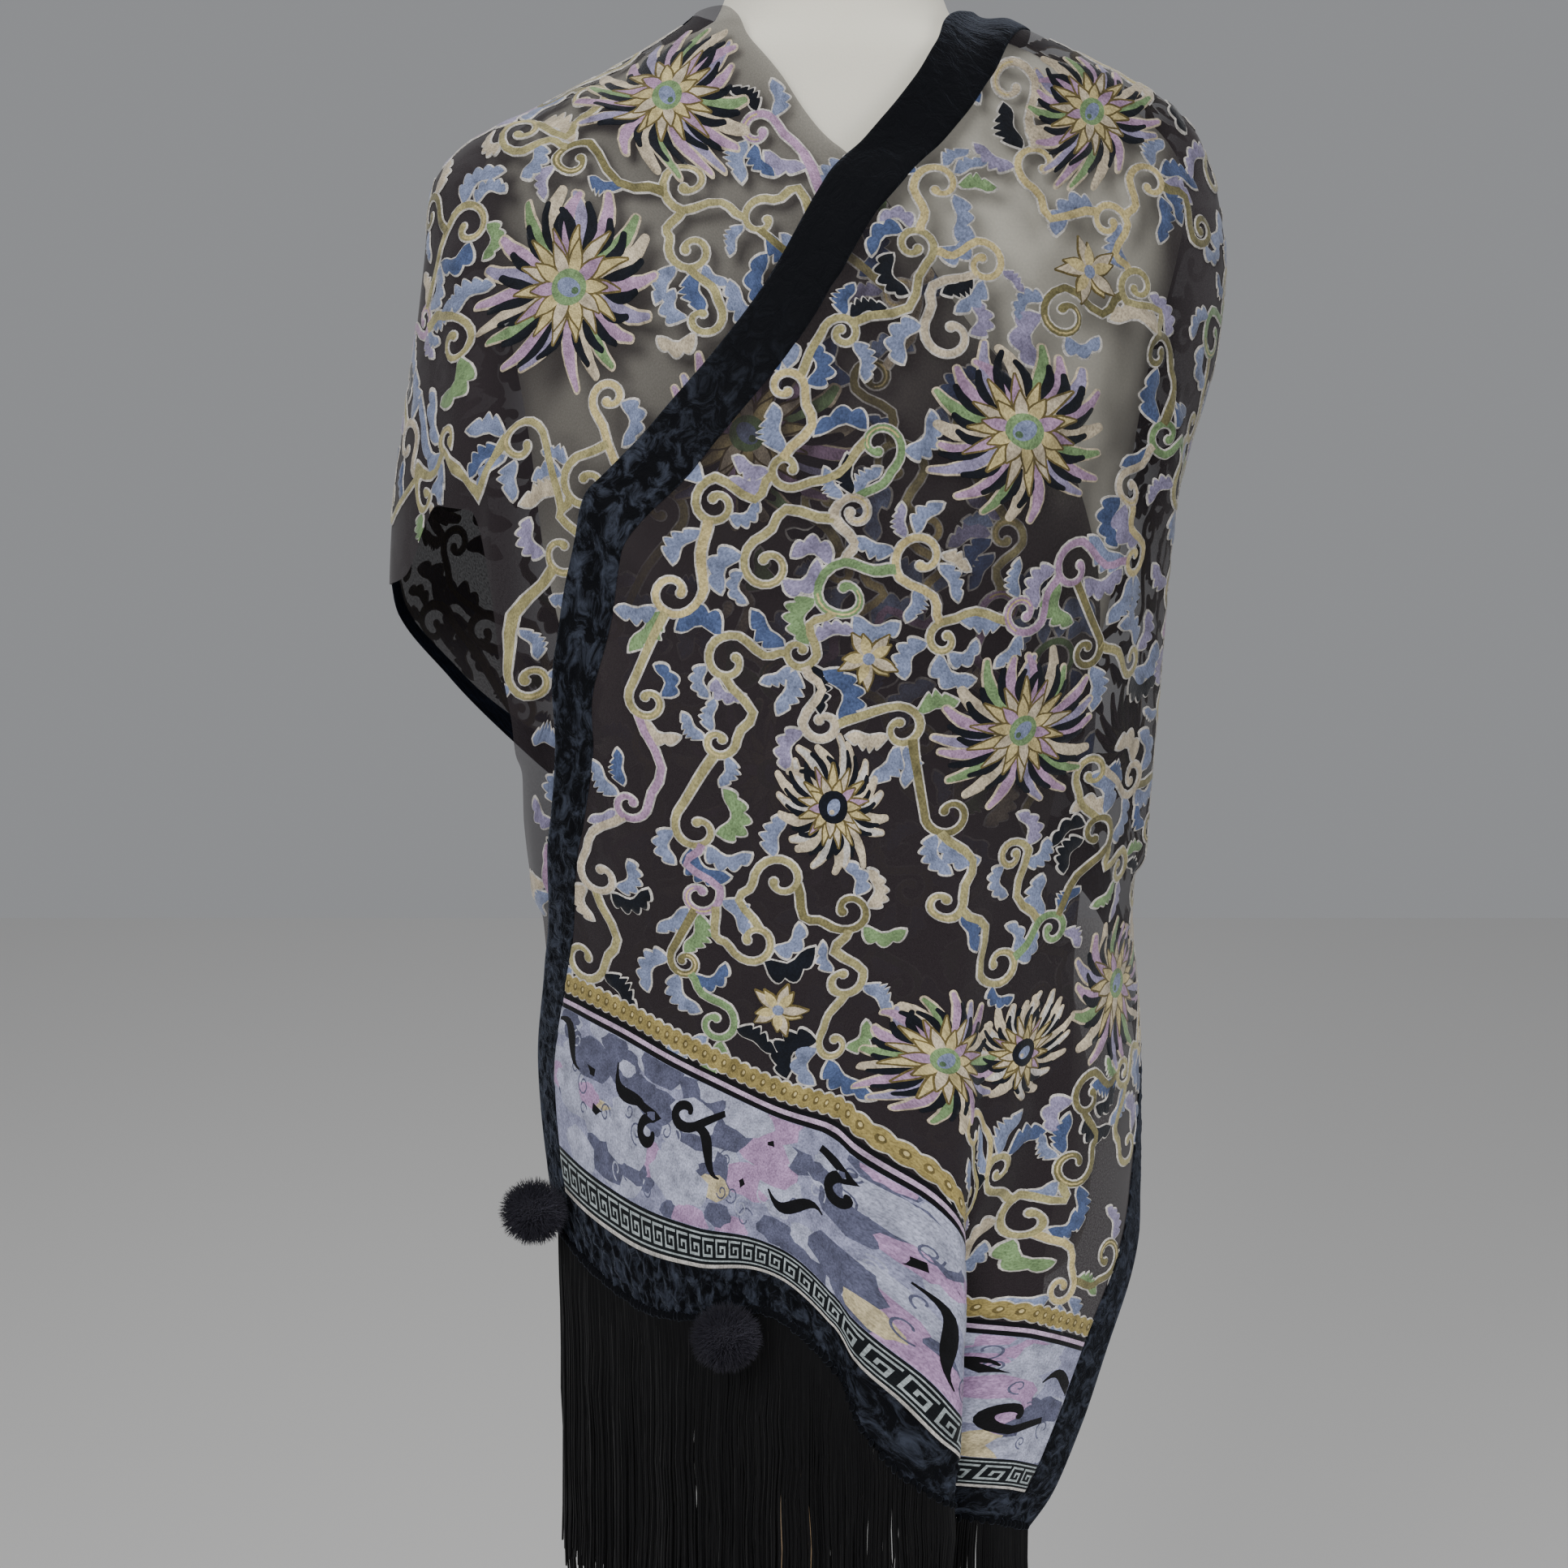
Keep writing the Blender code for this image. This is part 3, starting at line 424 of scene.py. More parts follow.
class Cloth:
    """One stretch of the shawl as a fine map from cloth shares to places in space."""

    ACROSS = 300
    PER_LINE = 24
    PATH_POINTS = 61

    def __init__(
        self,
        lines: Sequence[Line],
        creases: Sequence[Crease],
        rises: Sequence[Rise] = (),
        fold: Optional[DeepFold] = None,
    ) -> None:
        """Lays the stretch on the drape.

        Args:
            lines: Its cross lines.
            creases: Its ridges and troughs.
            rises: How its lower cross lines bow, where they do.
            fold: Its deep fold, where it has one.
        """
        self.lines = Table(range(len(lines)), lines)
        self.creases = creases
        self.rises = Table([r.share for r in rises], [r[1:] for r in rises]) if rises else None
        self.fold = fold
        self.end = len(lines) - 1
        self.us = np.linspace(0, 1, self.ACROSS + 1)
        self.vs = np.linspace(0, self.end, self.end * self.PER_LINE + 1)
        self.points = np.array([self._row(v, self.us, True) for v in self.vs])
        self.normals = self._normals(self.points)
        plain = np.array([self._row(v, self.us, False) for v in self.vs])
        middle = plain[:, self.ACROSS // 2]
        steps = np.linalg.norm(np.diff(middle, axis=0), axis=1) * 1000
        self.lengths = np.concatenate([[0.0], np.cumsum(steps)])
        self.plain = plain
        self.plain_normals = self._normals(plain)
        d_across = np.gradient(plain, self.us * CLOTH_WIDTH, axis=1) * 1000
        d_along = np.gradient(plain, self.lengths, axis=0) * 1000
        self.metric = np.concatenate([d_across, d_along, self.plain_normals], axis=2)

    def _row(self, v: float, us: np.ndarray, folded_too: bool) -> np.ndarray:
        """Gives one cross line's points.

        Args:
            v: The place along the cloth, in table rows.
            us: The shares across.
            folded_too: Whether the folds and creases are laid as well.

        Returns:
            One point for each share.
        """
        line = Line(*self.lines.read(v)[0])
        share = np.linspace(0, 1, self.PATH_POINTS)
        angles = line.in_angle + (line.out_angle - line.in_angle) * share
        heights = line.in_z + (line.out_z - line.in_z) * share
        path = DRAPE.point(angles, heights)
        lengths = np.concatenate([[0.0], np.cumsum(np.linalg.norm(np.diff(path, axis=0), axis=1))])
        seen = us.copy()
        bulge = np.zeros(len(us))
        if self.fold and folded_too:
            fold = self.fold
            q = (us - line.fold_at) / line.fold_half
            window = np.clip(1 - q * q, 0, None)
            folded = float(smooth_step(v, fold.start, fold.full))
            raised = float(smooth_step(v, *fold.raised))
            seen = us - fold.back * folded * line.fold_half * q * window * window
            ply = smooth_step(np.abs(q), *fold.nose) * (1 - smooth_step(np.abs(q), *fold.foot))
            bulge = raised * ply * np.where(q < 0, fold.out, -fold.inward)
        angle = np.interp(np.clip(seen, 0, 1) * lengths[-1], lengths, angles)
        z = np.interp(us * lengths[-1], lengths, heights)
        if self.rises is not None:
            rise = self.rises.read(us)
            blend = float(smooth_step(v, STRIPE_LINE, self.end))
            z = z + (rise[:, 0] + (rise[:, 1] - rise[:, 0]) * blend) * float(
                smooth_step(v, RISE_START, STRIPE_LINE)
            )
        base = DRAPE.point(angle, z)
        lift = line.in_lift + (line.out_lift - line.in_lift) * us + bulge
        if folded_too:
            lift = lift + crease_heights(self.creases, base, angle)
        return base + DRAPE.normal(angle, z) * lift[:, None]

    @staticmethod
    def _normals(points: np.ndarray) -> np.ndarray:
        """Gives the outward directions of a grid of points."""
        out = np.cross(np.gradient(points, axis=0), np.gradient(points, axis=1))
        return out / np.linalg.norm(out, axis=2, keepdims=True)

    def mix(self, grid: np.ndarray, u: np.ndarray, v: np.ndarray) -> np.ndarray:
        """Reads a grid between its points.

        Args:
            grid: Values on the grid, rows along and columns across.
            u: Shares across.
            v: Table rows along.

        Returns:
            One row of values for each place.
        """
        a = np.clip(np.asarray(u, float), 0, 1) * self.ACROSS
        b = np.clip(np.asarray(v, float), 0, self.end) * self.PER_LINE
        i = np.clip(a.astype(int), 0, self.ACROSS - 1)
        j = np.clip(b.astype(int), 0, len(self.vs) - 2)
        s, t = (a - i)[:, None], (b - j)[:, None]
        return (
            grid[j, i] * (1 - s) * (1 - t) + grid[j, i + 1] * s * (1 - t)
            + grid[j + 1, i] * (1 - s) * t + grid[j + 1, i + 1] * s * t
        )

    def place(self, u: np.ndarray, v: np.ndarray, lift: np.ndarray) -> np.ndarray:
        """Gives places in space.

        Args:
            u: Shares across.
            v: Table rows along.
            lift: Heights above the middle of the wall, in metres.

        Returns:
            One point for each place.
        """
        out = self.mix(self.normals, u, v)
        out /= np.linalg.norm(out, axis=1, keepdims=True)
        return self.mix(self.points, u, v) + out * np.reshape(lift, (-1, 1))

    def shares(self, flat: np.ndarray) -> Tuple[np.ndarray, np.ndarray]:
        """Turns cloth millimetres (across, along) into shares across and table rows."""
        return flat[:, 0] / CLOTH_WIDTH, np.interp(flat[:, 1], self.lengths, self.vs)

    def millimetres(self, v: float) -> float:
        """Gives how many millimetres along the cloth a table row lies."""
        return float(np.interp(v, self.vs, self.lengths))

    def local(self, flat: np.ndarray) -> Tuple[np.ndarray, np.ndarray]:
        """Gives the cloth's true directions at places.

        Args:
            flat: Places in cloth millimetres.

        Returns:
            The 3 by 2 matrices of true millimetres for each cloth millimetre, and the normals.
        """
        found = self.mix(self.metric, *self.shares(flat))
        return np.stack([found[:, 0:3], found[:, 3:6]], axis=2), found[:, 6:9]


def step_back(matrices: np.ndarray, offsets: np.ndarray) -> np.ndarray:
    """Turns true offsets in the cloth's plane into cloth millimetres.

    Args:
        matrices: The 3 by 2 matrices from Cloth.local.
        offsets: True offsets in millimetres, three numbers each.

    Returns:
        Offsets in cloth millimetres.
    """
    turned = np.swapaxes(matrices, 1, 2)
    square = turned @ matrices
    right = (turned @ offsets[:, :, None])
    return np.linalg.solve(square, right)[:, :, 0]


class Tint(Enum):
    """The dyed colours of the pile, each by its sRGB code."""

    VINE = "aca374"
    VINE_DARK = "7d7650"
    LEAF = "8590b0"
    LEAF_DEEP = "4f5f86"
    LILAC = "9890b0"
    CREAM = "cfc0a6"
    ROSE = "b492b2"
    GOLD = "d2c088"
    GREEN = "7f9c6c"
    GREEN_DARK = "587052"
    NAVY = "12161f"
    INK = "0b0b0f"
    EDGE = "d2cdc6"
    STRIPE = "a3925a"
    STRIPE_DARK = "6d6039"
    PINK = "c9aecb"
    CLOUD = "9a9cb9"
    CLOUD_GREY = "5f6179"
    CLOUD_LIGHT = "b3b6cd"
    CLOUD_PINK = "b593bb"
    CLOUD_GOLD = "cbbd98"
    KEY_GROUND = "0d1216"
    KEY = "a9b3b4"


@dataclass
class Patch:
    """One flat shape of the pattern, in cloth millimetres."""

    outline: np.ndarray
    tint: Tint
    order: float


def wound(outline: np.ndarray) -> np.ndarray:
    """Turns an outline anticlockwise and drops its repeated points.

    Args:
        outline: The outline in cloth millimetres.

    Returns:
        The outline, wound as the triangulation needs it.
    """
    apart = np.linalg.norm(outline - np.roll(outline, 1, axis=0), axis=1) > 0.02
    kept = outline[apart]
    after = np.roll(kept, -1, axis=0)
    area = float(np.sum(kept[:, 0] * after[:, 1] - after[:, 0] * kept[:, 1]))
    return kept if area > 0 else kept[::-1]


def ribbon(points: np.ndarray, half: np.ndarray, wider: float = 0.0) -> np.ndarray:
    """Makes the outline of a strip with a rounded far end.

    Args:
        points: Its middle line.
        half: Its half width at each point.
        wider: How much wider it is all round.

    Returns:
        The outline.
    """
    way = np.gradient(points, axis=0)
    way /= np.maximum(np.linalg.norm(way, axis=1, keepdims=True), 1e-9)
    side = np.stack([-way[:, 1], way[:, 0]], axis=1)
    reach = (half + wider)[:, None]
    left, right = points + side * reach, points - side * reach
    turns = np.linspace(math.pi / 2, -math.pi / 2, 6)[1:-1]
    cap = [
        points[-1] + (way[-1] * math.cos(t) + side[-1] * math.sin(t)) * float(reach[-1, 0])
        for t in turns
    ]
    start = points[:1] - way[:1] * wider
    return np.vstack([start, left, np.array(cap), right[::-1]])


def scallop_leaf(length: float, width: float, lobes: int, bend: float, wider: float) -> np.ndarray:
    """Makes a leaf like a small cloud: lobes on one side, a hollow on the other.

    Args:
        length: From base to tip, in millimetres.
        width: The height of its lobed side.
        lobes: How many lobes it has.
        bend: How far its axis turns, in radians.
        wider: How much wider it is all round.

    Returns:
        The outline, with its base at the origin and its axis along +X.
    """
    t = np.linspace(0, 1, 6 * lobes + 1)
    crest = np.sin(np.pi * np.clip(t, 0.0, 1.0) ** 0.75) ** 0.6
    top = width * crest * (0.70 + 0.30 * np.abs(np.sin(np.pi * lobes * t))) + wider
    t_low = np.linspace(1, 0, 2 * lobes + 2)
    low = -width * 0.20 * np.sin(np.pi * t_low) * np.cos(2.2 * np.pi * t_low) - wider
    along = np.concatenate([t, t_low]) * (length + 2 * wider) - wider
    high = np.concatenate([top, low])
    angle = bend * along / length
    x = np.where(abs(bend) < 1e-6, along, length * np.sin(angle) / bend) - high * np.sin(angle)
    y = np.where(abs(bend) < 1e-6, 0.0, length * (1 - np.cos(angle)) / bend) + high * np.cos(angle)
    return np.stack([x, y], axis=1)


def spiral(radius: float, turns: float, hand: int, start: float, samples: int) -> np.ndarray:
    """Makes the middle line of a scroll that curls in on its own centre.

    Args:
        radius: Its outer radius.
        turns: How many turns it makes.
        hand: 1 turns left, -1 turns right.
        start: The angle of its first point from its centre.
        samples: How many points it gets.

    Returns:
        The points, with its centre at the origin.
    """
    t = np.linspace(0, 1, samples)
    angle = start + hand * turns * 2 * math.pi * t
    reach = radius * (1 - 0.74 * t ** 0.9)
    return np.stack([np.cos(angle) * reach, np.sin(angle) * reach], axis=1)


def circle(count: int) -> np.ndarray:
    """Gives evenly spaced points on a circle of radius 1."""
    ring = np.linspace(0, 2 * math.pi, count + 1)[:-1]
    return np.stack([np.cos(ring), np.sin(ring)], axis=1)


@dataclass(frozen=True)
class Blossom:
    """A flower of the pattern: its place in shares and table rows, size and kind."""

    u: float
    v: float
    radius: float
    turn: float = 0.0
    small: bool = False
    dark: bool = False


OVER_BLOSSOMS = (
    Blossom(0.29, 4.5, 43, 0.3),
    Blossom(0.48, 5.9, 40, 0.9),
    Blossom(0.57, 10.1, 36, 0.1),
    Blossom(0.35, 8.4, 33, 0.5, dark=True),
    Blossom(0.66, 8.9, 29, 1.0, dark=True),
    Blossom(0.15, 1.6, 32, 0.2),
    Blossom(0.31, 6.5, 15, small=True),
    Blossom(0.38, 10.4, 14, small=True),
    Blossom(0.24, 2.8, 17, small=True),
    Blossom(0.80, 6.8, 40, 1.4),
    Blossom(0.80, 3.4, 38, 0.6),
)
UNDER_BLOSSOMS = (
    Blossom(0.55, 2.6, 46, 0.5),
    Blossom(0.17, 1.9, 38, 0.1),
    Blossom(0.40, 5.4, 44, 0.5),
    Blossom(0.50, 8.6, 40, 0.9),
)
BACK_BLOSSOMS = (
    Blossom(0.35, 3.0, 44, 0.2),
    Blossom(0.68, 5.4, 40, 1.2),
    Blossom(0.70, 1.2, 36, 0.7),
)


class Pattern:
    """The burnout pattern of one stretch: scrolls, leaves and flowers in dyed pile.

    The scrolls branch from one another and turn the other way at each branch. Their
    places come from a fixed seed, clear of the flowers, so the layout is its own.
    """

    PITCH = 33.0
    REACH = 78.0
    VINE = 2.0
    LENGTH = 6
    CELL = 2.0
    THROWS = 9000
    FIRST_RADIUS = 13.0
    RADII = (9.0, 14.5)
    TURNS = (0.82, 1.1)
    CURL_POINTS = 19
    STEM_POINTS = 7
    BOW = 13.0
    RIM = 0.8
    LEAVES = 7
    LEAF_SIZES = (15.0, 27.0)
    LEAF_FREE = 0.84

    def __init__(
        self, cloth: Cloth, blossoms: Sequence[Blossom], along: Tuple[float, float], seed: int
    ) -> None:
        """Draws the pattern.

        Args:
            cloth: The stretch that it lies on.
            blossoms: Its flowers.
            along: The table rows between which it lies.
            seed: The seed of its layout.
        """
        self.cloth = cloth
        self.blossoms = blossoms
        self.low = cloth.millimetres(along[0])
        self.high = cloth.millimetres(along[1])
        self.inset = BORDER_SHARE * CLOTH_WIDTH
        self.chance = random.Random(seed)
        self.patches: List[Patch] = []
        shape = (int(CLOTH_WIDTH / self.CELL) + 2, int((self.high - self.low) / self.CELL) + 2)
        self.taken = np.zeros(shape, bool)
        for blossom in blossoms:
            self._flower(blossom)
        self._scrolls()

    def _axes(self, at: np.ndarray) -> Tuple[np.ndarray, np.ndarray, np.ndarray]:
        """Gives the cloth's matrix at a place and its true directions across and along."""
        matrix, normal = self.cloth.local(at[None, :])
        e1 = matrix[0, :, 0] / np.linalg.norm(matrix[0, :, 0])
        e2 = np.cross(normal[0], e1)
        e2 *= np.sign(e2 @ matrix[0, :, 1])
        return matrix, e1, e2

    def _map(self, at: np.ndarray, forward: float, shape: np.ndarray) -> np.ndarray:
        """Lays a true-size shape on the cloth.

        Args:
            at: Its place in cloth millimetres.
            forward: The direction of its +X from the cloth's across direction, in radians.
            shape: Its outline in true millimetres.

        Returns:
            Its outline in cloth millimetres.
        """
        matrix, e1, e2 = self._axes(at)
        c, s = math.cos(forward), math.sin(forward)
        a = shape[:, 0] * c - shape[:, 1] * s
        b = shape[:, 0] * s + shape[:, 1] * c
        offsets = a[:, None] * e1 + b[:, None] * e2
        return at + step_back(np.repeat(matrix, len(shape), axis=0), offsets)

    def _frame(self, at: np.ndarray, other: np.ndarray) -> np.ndarray:
        """Gives another place's true offset from a place, in the frame of _map at 0."""
        matrix, e1, e2 = self._axes(at)
        offset = matrix[0] @ (other - at)
        return np.array([offset @ e1, offset @ e2])

    def _cells(self, outline: np.ndarray) -> Tuple[np.ndarray, np.ndarray]:
        """Gives the cells of the free-space grid that an outline covers."""
        flat = (outline - [0, self.low]) / self.CELL
        low = np.floor(flat.min(axis=0)).astype(int)
        high = np.ceil(flat.max(axis=0)).astype(int)
        gx, gy = np.meshgrid(np.arange(low[0], high[0] + 1), np.arange(low[1], high[1] + 1))
        spots = np.stack([gx.ravel(), gy.ravel()], axis=1).astype(float)
        inside = np.zeros(len(spots), bool)
        before = np.roll(flat, 1, axis=0)
        for (x1, y1), (x2, y2) in zip(before, flat):
            if y1 == y2:
                continue
            crosses = (y1 > spots[:, 1]) != (y2 > spots[:, 1])
            inside ^= crosses & (spots[:, 0] < (x2 - x1) * (spots[:, 1] - y1) / (y2 - y1) + x1)
        found = spots[inside].astype(int)
        keep = (found >= 0).all(axis=1)
        keep &= (found[:, 0] < self.taken.shape[0]) & (found[:, 1] < self.taken.shape[1])
        return found[keep, 0], found[keep, 1]

    def _free(self, outline: np.ndarray) -> float:
        """Gives the share of an outline that lies on free cloth."""
        cells = self._cells(outline)
        return 1.0 - float(self.taken[cells].mean()) if len(cells[0]) else 1.0

    def _add(self, outline: np.ndarray, tint: Tint, order: float) -> None:
        """Keeps a shape and marks the cloth under it as taken."""
        self.patches.append(Patch(outline, tint, order))
        self.taken[self._cells(outline)] = True

    def _petal(
        self, at: np.ndarray, angle: float, reach: Tuple[float, float], wide: float, hook: float,
        tint: Tint, order: float, rim: Optional[Tint] = None, blunt: float = 0.0,
    ) -> None:
        """Adds a petal with its rim.

        Args:
            at: The flower's centre.
            angle: The petal's direction.
            reach: Where it starts and ends from the centre.
            wide: Its greatest half width.
            hook: How far its tip turns aside, in millimetres.
            tint: Its colour.
            order: Its layer.
            rim: The colour of its rim.
            blunt: Its half width at the tip.
        """
        t = np.linspace(0, 1, 7)
        along = reach[0] + (reach[1] - reach[0]) * t
        aside = hook * t ** 3
        swell = np.sin(np.pi * np.clip(t * 0.86 + 0.10, 0, 1)) ** 0.8
        half = wide * swell * (1 - t ** 6) + blunt * t
        line = np.stack([along, aside], axis=1)
        if rim is not None:
            self._add(self._map(at, angle, ribbon(line, half, 1.0)), rim, order - 0.3)
        self._add(self._map(at, angle, ribbon(line, half)), tint, order)

    def _flower(self, blossom: Blossom) -> None:
        """Adds one flower, a large many-petalled one or a small starry one."""
        at = self._seat(blossom)
        radius, chance = blossom.radius, self.chance
        if blossom.small:
            for i in range(10):
                angle = blossom.turn + (i + 0.5 * (i % 2)) * 2 * math.pi / 10
                far = radius * (1.0 if i % 2 else 0.82)
                tint = Tint.CREAM if i % 2 else Tint.GOLD
                self._petal(at, angle, (radius * 0.1, far), radius * 0.17, 0.0, tint,
                            20 + 0.1 * i, Tint.STRIPE_DARK)
            self._add(self._map(at, 0, circle(12) * radius * 0.2), Tint.LEAF, 22)
            return
        outer = (Tint.CREAM, Tint.EDGE) if blossom.dark else (
            Tint.ROSE, Tint.CREAM, Tint.GREEN, Tint.ROSE, Tint.LILAC)
        count = 20
        for i in range(count):
            angle = blossom.turn + i * 2 * math.pi / count + chance.uniform(-0.05, 0.05)
            far = radius * chance.uniform(0.88, 1.06)
            hook = radius * chance.uniform(0.16, 0.26) * (1 if i < count / 2 else -1)
            self._petal(at, angle, (radius * 0.34, far), radius * 0.058, hook,
                        outer[i % len(outer)], 16 + 0.05 * i, Tint.CREAM, radius * 0.030)
            dark = (radius * 0.40, far * chance.uniform(0.78, 0.90))
            self._petal(at, angle + math.pi / count, dark, radius * 0.040, hook * 0.8, Tint.NAVY,
                        17.5 + 0.05 * i, None, radius * 0.032)
        for ring_count, reach, wide, order in ((14, 0.66, 0.058, 19), (10, 0.46, 0.070, 20)):
            for i in range(ring_count):
                angle = blossom.turn + (i + 0.5) * 2 * math.pi / ring_count
                far = radius * reach * chance.uniform(0.88, 1.08)
                tint = (Tint.GOLD, Tint.CREAM, Tint.GOLD, Tint.ROSE)[i % 4]
                self._petal(at, angle, (radius * 0.08, far), radius * wide, 0.0, tint,
                            order + 0.04 * i, Tint.STRIPE_DARK)
        disc = circle(18)
        heart = (Tint.NAVY, Tint.LEAF, Tint.CREAM) if blossom.dark else (
            Tint.GREEN, Tint.LEAF, Tint.GREEN_DARK)
        wide = 0.26 if blossom.dark else 0.20
        self._add(self._map(at, 0, disc * radius * wide), heart[0], 21)
        self._add(self._map(at, 0, disc * [radius * 0.10, radius * 0.14]), heart[1], 21.2)
        self._add(self._map(at, 0, disc * radius * 0.04 + [0, radius * 0.08]), heart[2], 21.4)

    def _centres(self) -> List[np.ndarray]:
        """Throws the scrolls' centres, evenly and clear of the flowers."""
        kept: List[np.ndarray] = []
        spots: List[np.ndarray] = []
        for _ in range(self.THROWS):
            flat = np.array([
                self.chance.uniform(self.inset + 8, CLOTH_WIDTH - self.inset - 8),
                self.chance.uniform(self.low + 8, self.high - 8),
            ])
            cell = ((flat - [0, self.low]) / self.CELL).astype(int)
            if self.taken[cell[0], cell[1]]:
                continue
            u, v = self.cloth.shares(flat[None, :])
            spot = self.cloth.mix(self.cloth.plain, u, v)[0] * 1000
            if spots and np.linalg.norm(np.array(spots) - spot, axis=1).min() < self.PITCH:
                continue
            if any(
                np.linalg.norm(self._frame(flat, self._seat(b))) < b.radius + 9
                for b in self.blossoms
                if abs(self._seat(b) - flat).max() < 140
            ):
                continue
            kept.append(flat)
            spots.append(spot)
        return kept

    def _seat(self, blossom: Blossom) -> np.ndarray:
        """Gives a flower's place in cloth millimetres."""
        return np.array([blossom.u * CLOTH_WIDTH, self.cloth.millimetres(blossom.v)])

    def _scrolls(self) -> None:
        """Joins the scrolls' centres into a tree and draws each with its leaves."""
        centres = self._centres()
        if not centres:
            return
        left = set(range(1, len(centres)))
        drawn = [0]
        lines = {0: self._scroll(centres[0], None, 1, self.FIRST_RADIUS)}
        hands = {0: 1}
        while left:
            best = None
            for i in drawn:
                for k in left:
                    gap = np.hypot(*(centres[i] - centres[k]))
                    if best is None or gap < best[0]:
                        best = (gap, i, k)
            _, i, k = best
            left.discard(k)
            hands[k] = -hands[i]
            radius = self.chance.uniform(*self.RADII)
            near = np.hypot(*self._frame(centres[k], centres[i]))
            parent = None
            if near < self.REACH:
                gaps = np.linalg.norm(lines[i] - centres[k], axis=1)
                parent = lines[i][int(gaps.argmin())]
            lines[k] = self._scroll(centres[k], parent, hands[k], radius)
            drawn.append(k)

    def _vine(
        self, at: np.ndarray, line: np.ndarray, half: np.ndarray, wider: float, tint: Tint,
        order: float,
    ) -> None:
        """Adds a strip in short lengths, because a curl that meets itself can't be one shape."""
        for start in range(0, len(line) - 1, self.LENGTH):
            part = slice(start, start + self.LENGTH + 1)
            self._add(self._map(at, 0, ribbon(line[part], half[part], wider)), tint, order)

    def _scroll(
        self, at: np.ndarray, parent: Optional[np.ndarray], hand: int, radius: float
    ) -> np.ndarray:
        """Draws one scroll, the stem that joins it to its parent, and its leaves.

        Args:
            at: The scroll's centre.
            parent: The place on an older scroll that the stem grows from, or None.
            hand: 1 curls left, -1 curls right.
            radius: The curl's outer radius.

        Returns:
            Its middle line in cloth millimetres.
        """
        chance = self.chance
        tints = (Tint.VINE, Tint.VINE, Tint.VINE, Tint.VINE, Tint.GOLD, Tint.VINE, Tint.CREAM,
                 Tint.GREEN, Tint.ROSE)
        tint = chance.choice(tints)
        start = chance.uniform(-math.pi, math.pi)
        stem = np.zeros((0, 2))
        if parent is not None:
            way = self._frame(at, parent)
            gap = float(np.hypot(*way))
            lean = math.acos(min(0.98, radius / max(gap, 1.0)))
            toward = math.atan2(way[1], way[0])
            start = toward + hand * lean
            touch = np.array([math.cos(start), math.sin(start)])
            run = np.linspace(0, 1, self.STEM_POINTS)[:-1, None]
            bow = chance.uniform(-self.BOW, self.BOW)
            aside = np.array([-way[1], way[0]]) / max(gap, 1.0) * bow
            stem = way * (1 - run) + touch * radius * run + aside * np.sin(np.pi * run) ** 2
        curl = spiral(radius, chance.uniform(*self.TURNS), hand, start, self.CURL_POINTS)
        line = np.vstack([stem, curl])
        share = np.linspace(0, 1, len(line))
        half = self.VINE * (1.02 - 0.42 * share)
        half[-3:] = self.VINE * np.array([0.75, 0.95, 1.05])
        shade = Tint.VINE_DARK if chance.random() < 0.12 else tint
        self._vine(at, line, half, self.RIM, Tint.EDGE, 1)
        self._vine(at, line, half, 0.0, shade, 4)
        if chance.random() < 0.5:
            self._vine(at, curl[4:-4], half[len(stem) + 4:-4] * 0.28, 0.0, Tint.GOLD, 4.5)
        for _ in range(self.LEAVES):
            spot = chance.uniform(0.05, 0.9) * 2 * math.pi
            angle = start + hand * spot
            size = chance.uniform(*self.LEAF_SIZES)
            wide = size * chance.uniform(0.42, 0.56)
            lobes = chance.choice((3, 4, 5))
            bend = hand * chance.uniform(0.3, 1.1)
            reach = radius * (1 - 0.74 * (spot / (2 * math.pi * 1.2)) ** 0.9) + self.VINE * 0.5
            if spot > 4.4:
                reach = radius
            root = np.array([math.cos(angle), math.sin(angle)]) * reach
            heading = angle + hand * chance.uniform(0.5, 1.25)
            seat = self._map(at, 0, root[None, :])[0]
            wing = 1 if hand > 0 else -1
            leaf = scallop_leaf(size, wide, lobes, bend, 0.0) * [1, -wing]
            outline = self._map(seat, heading, leaf)
            if self._free(outline) < self.LEAF_FREE:
                continue
            rim = scallop_leaf(size, wide, lobes, bend, 0.9) * [1, -wing]
            self._add(self._map(seat, heading, rim), Tint.EDGE, 0.5)
            colour = chance.choices(
                (Tint.LEAF, Tint.LEAF_DEEP, Tint.LILAC, Tint.NAVY, Tint.GREEN, Tint.CREAM),
                (46, 18, 14, 9, 6, 7),
            )[0]
            self._add(outline, colour, 3)
        return self._map(at, 0, line)


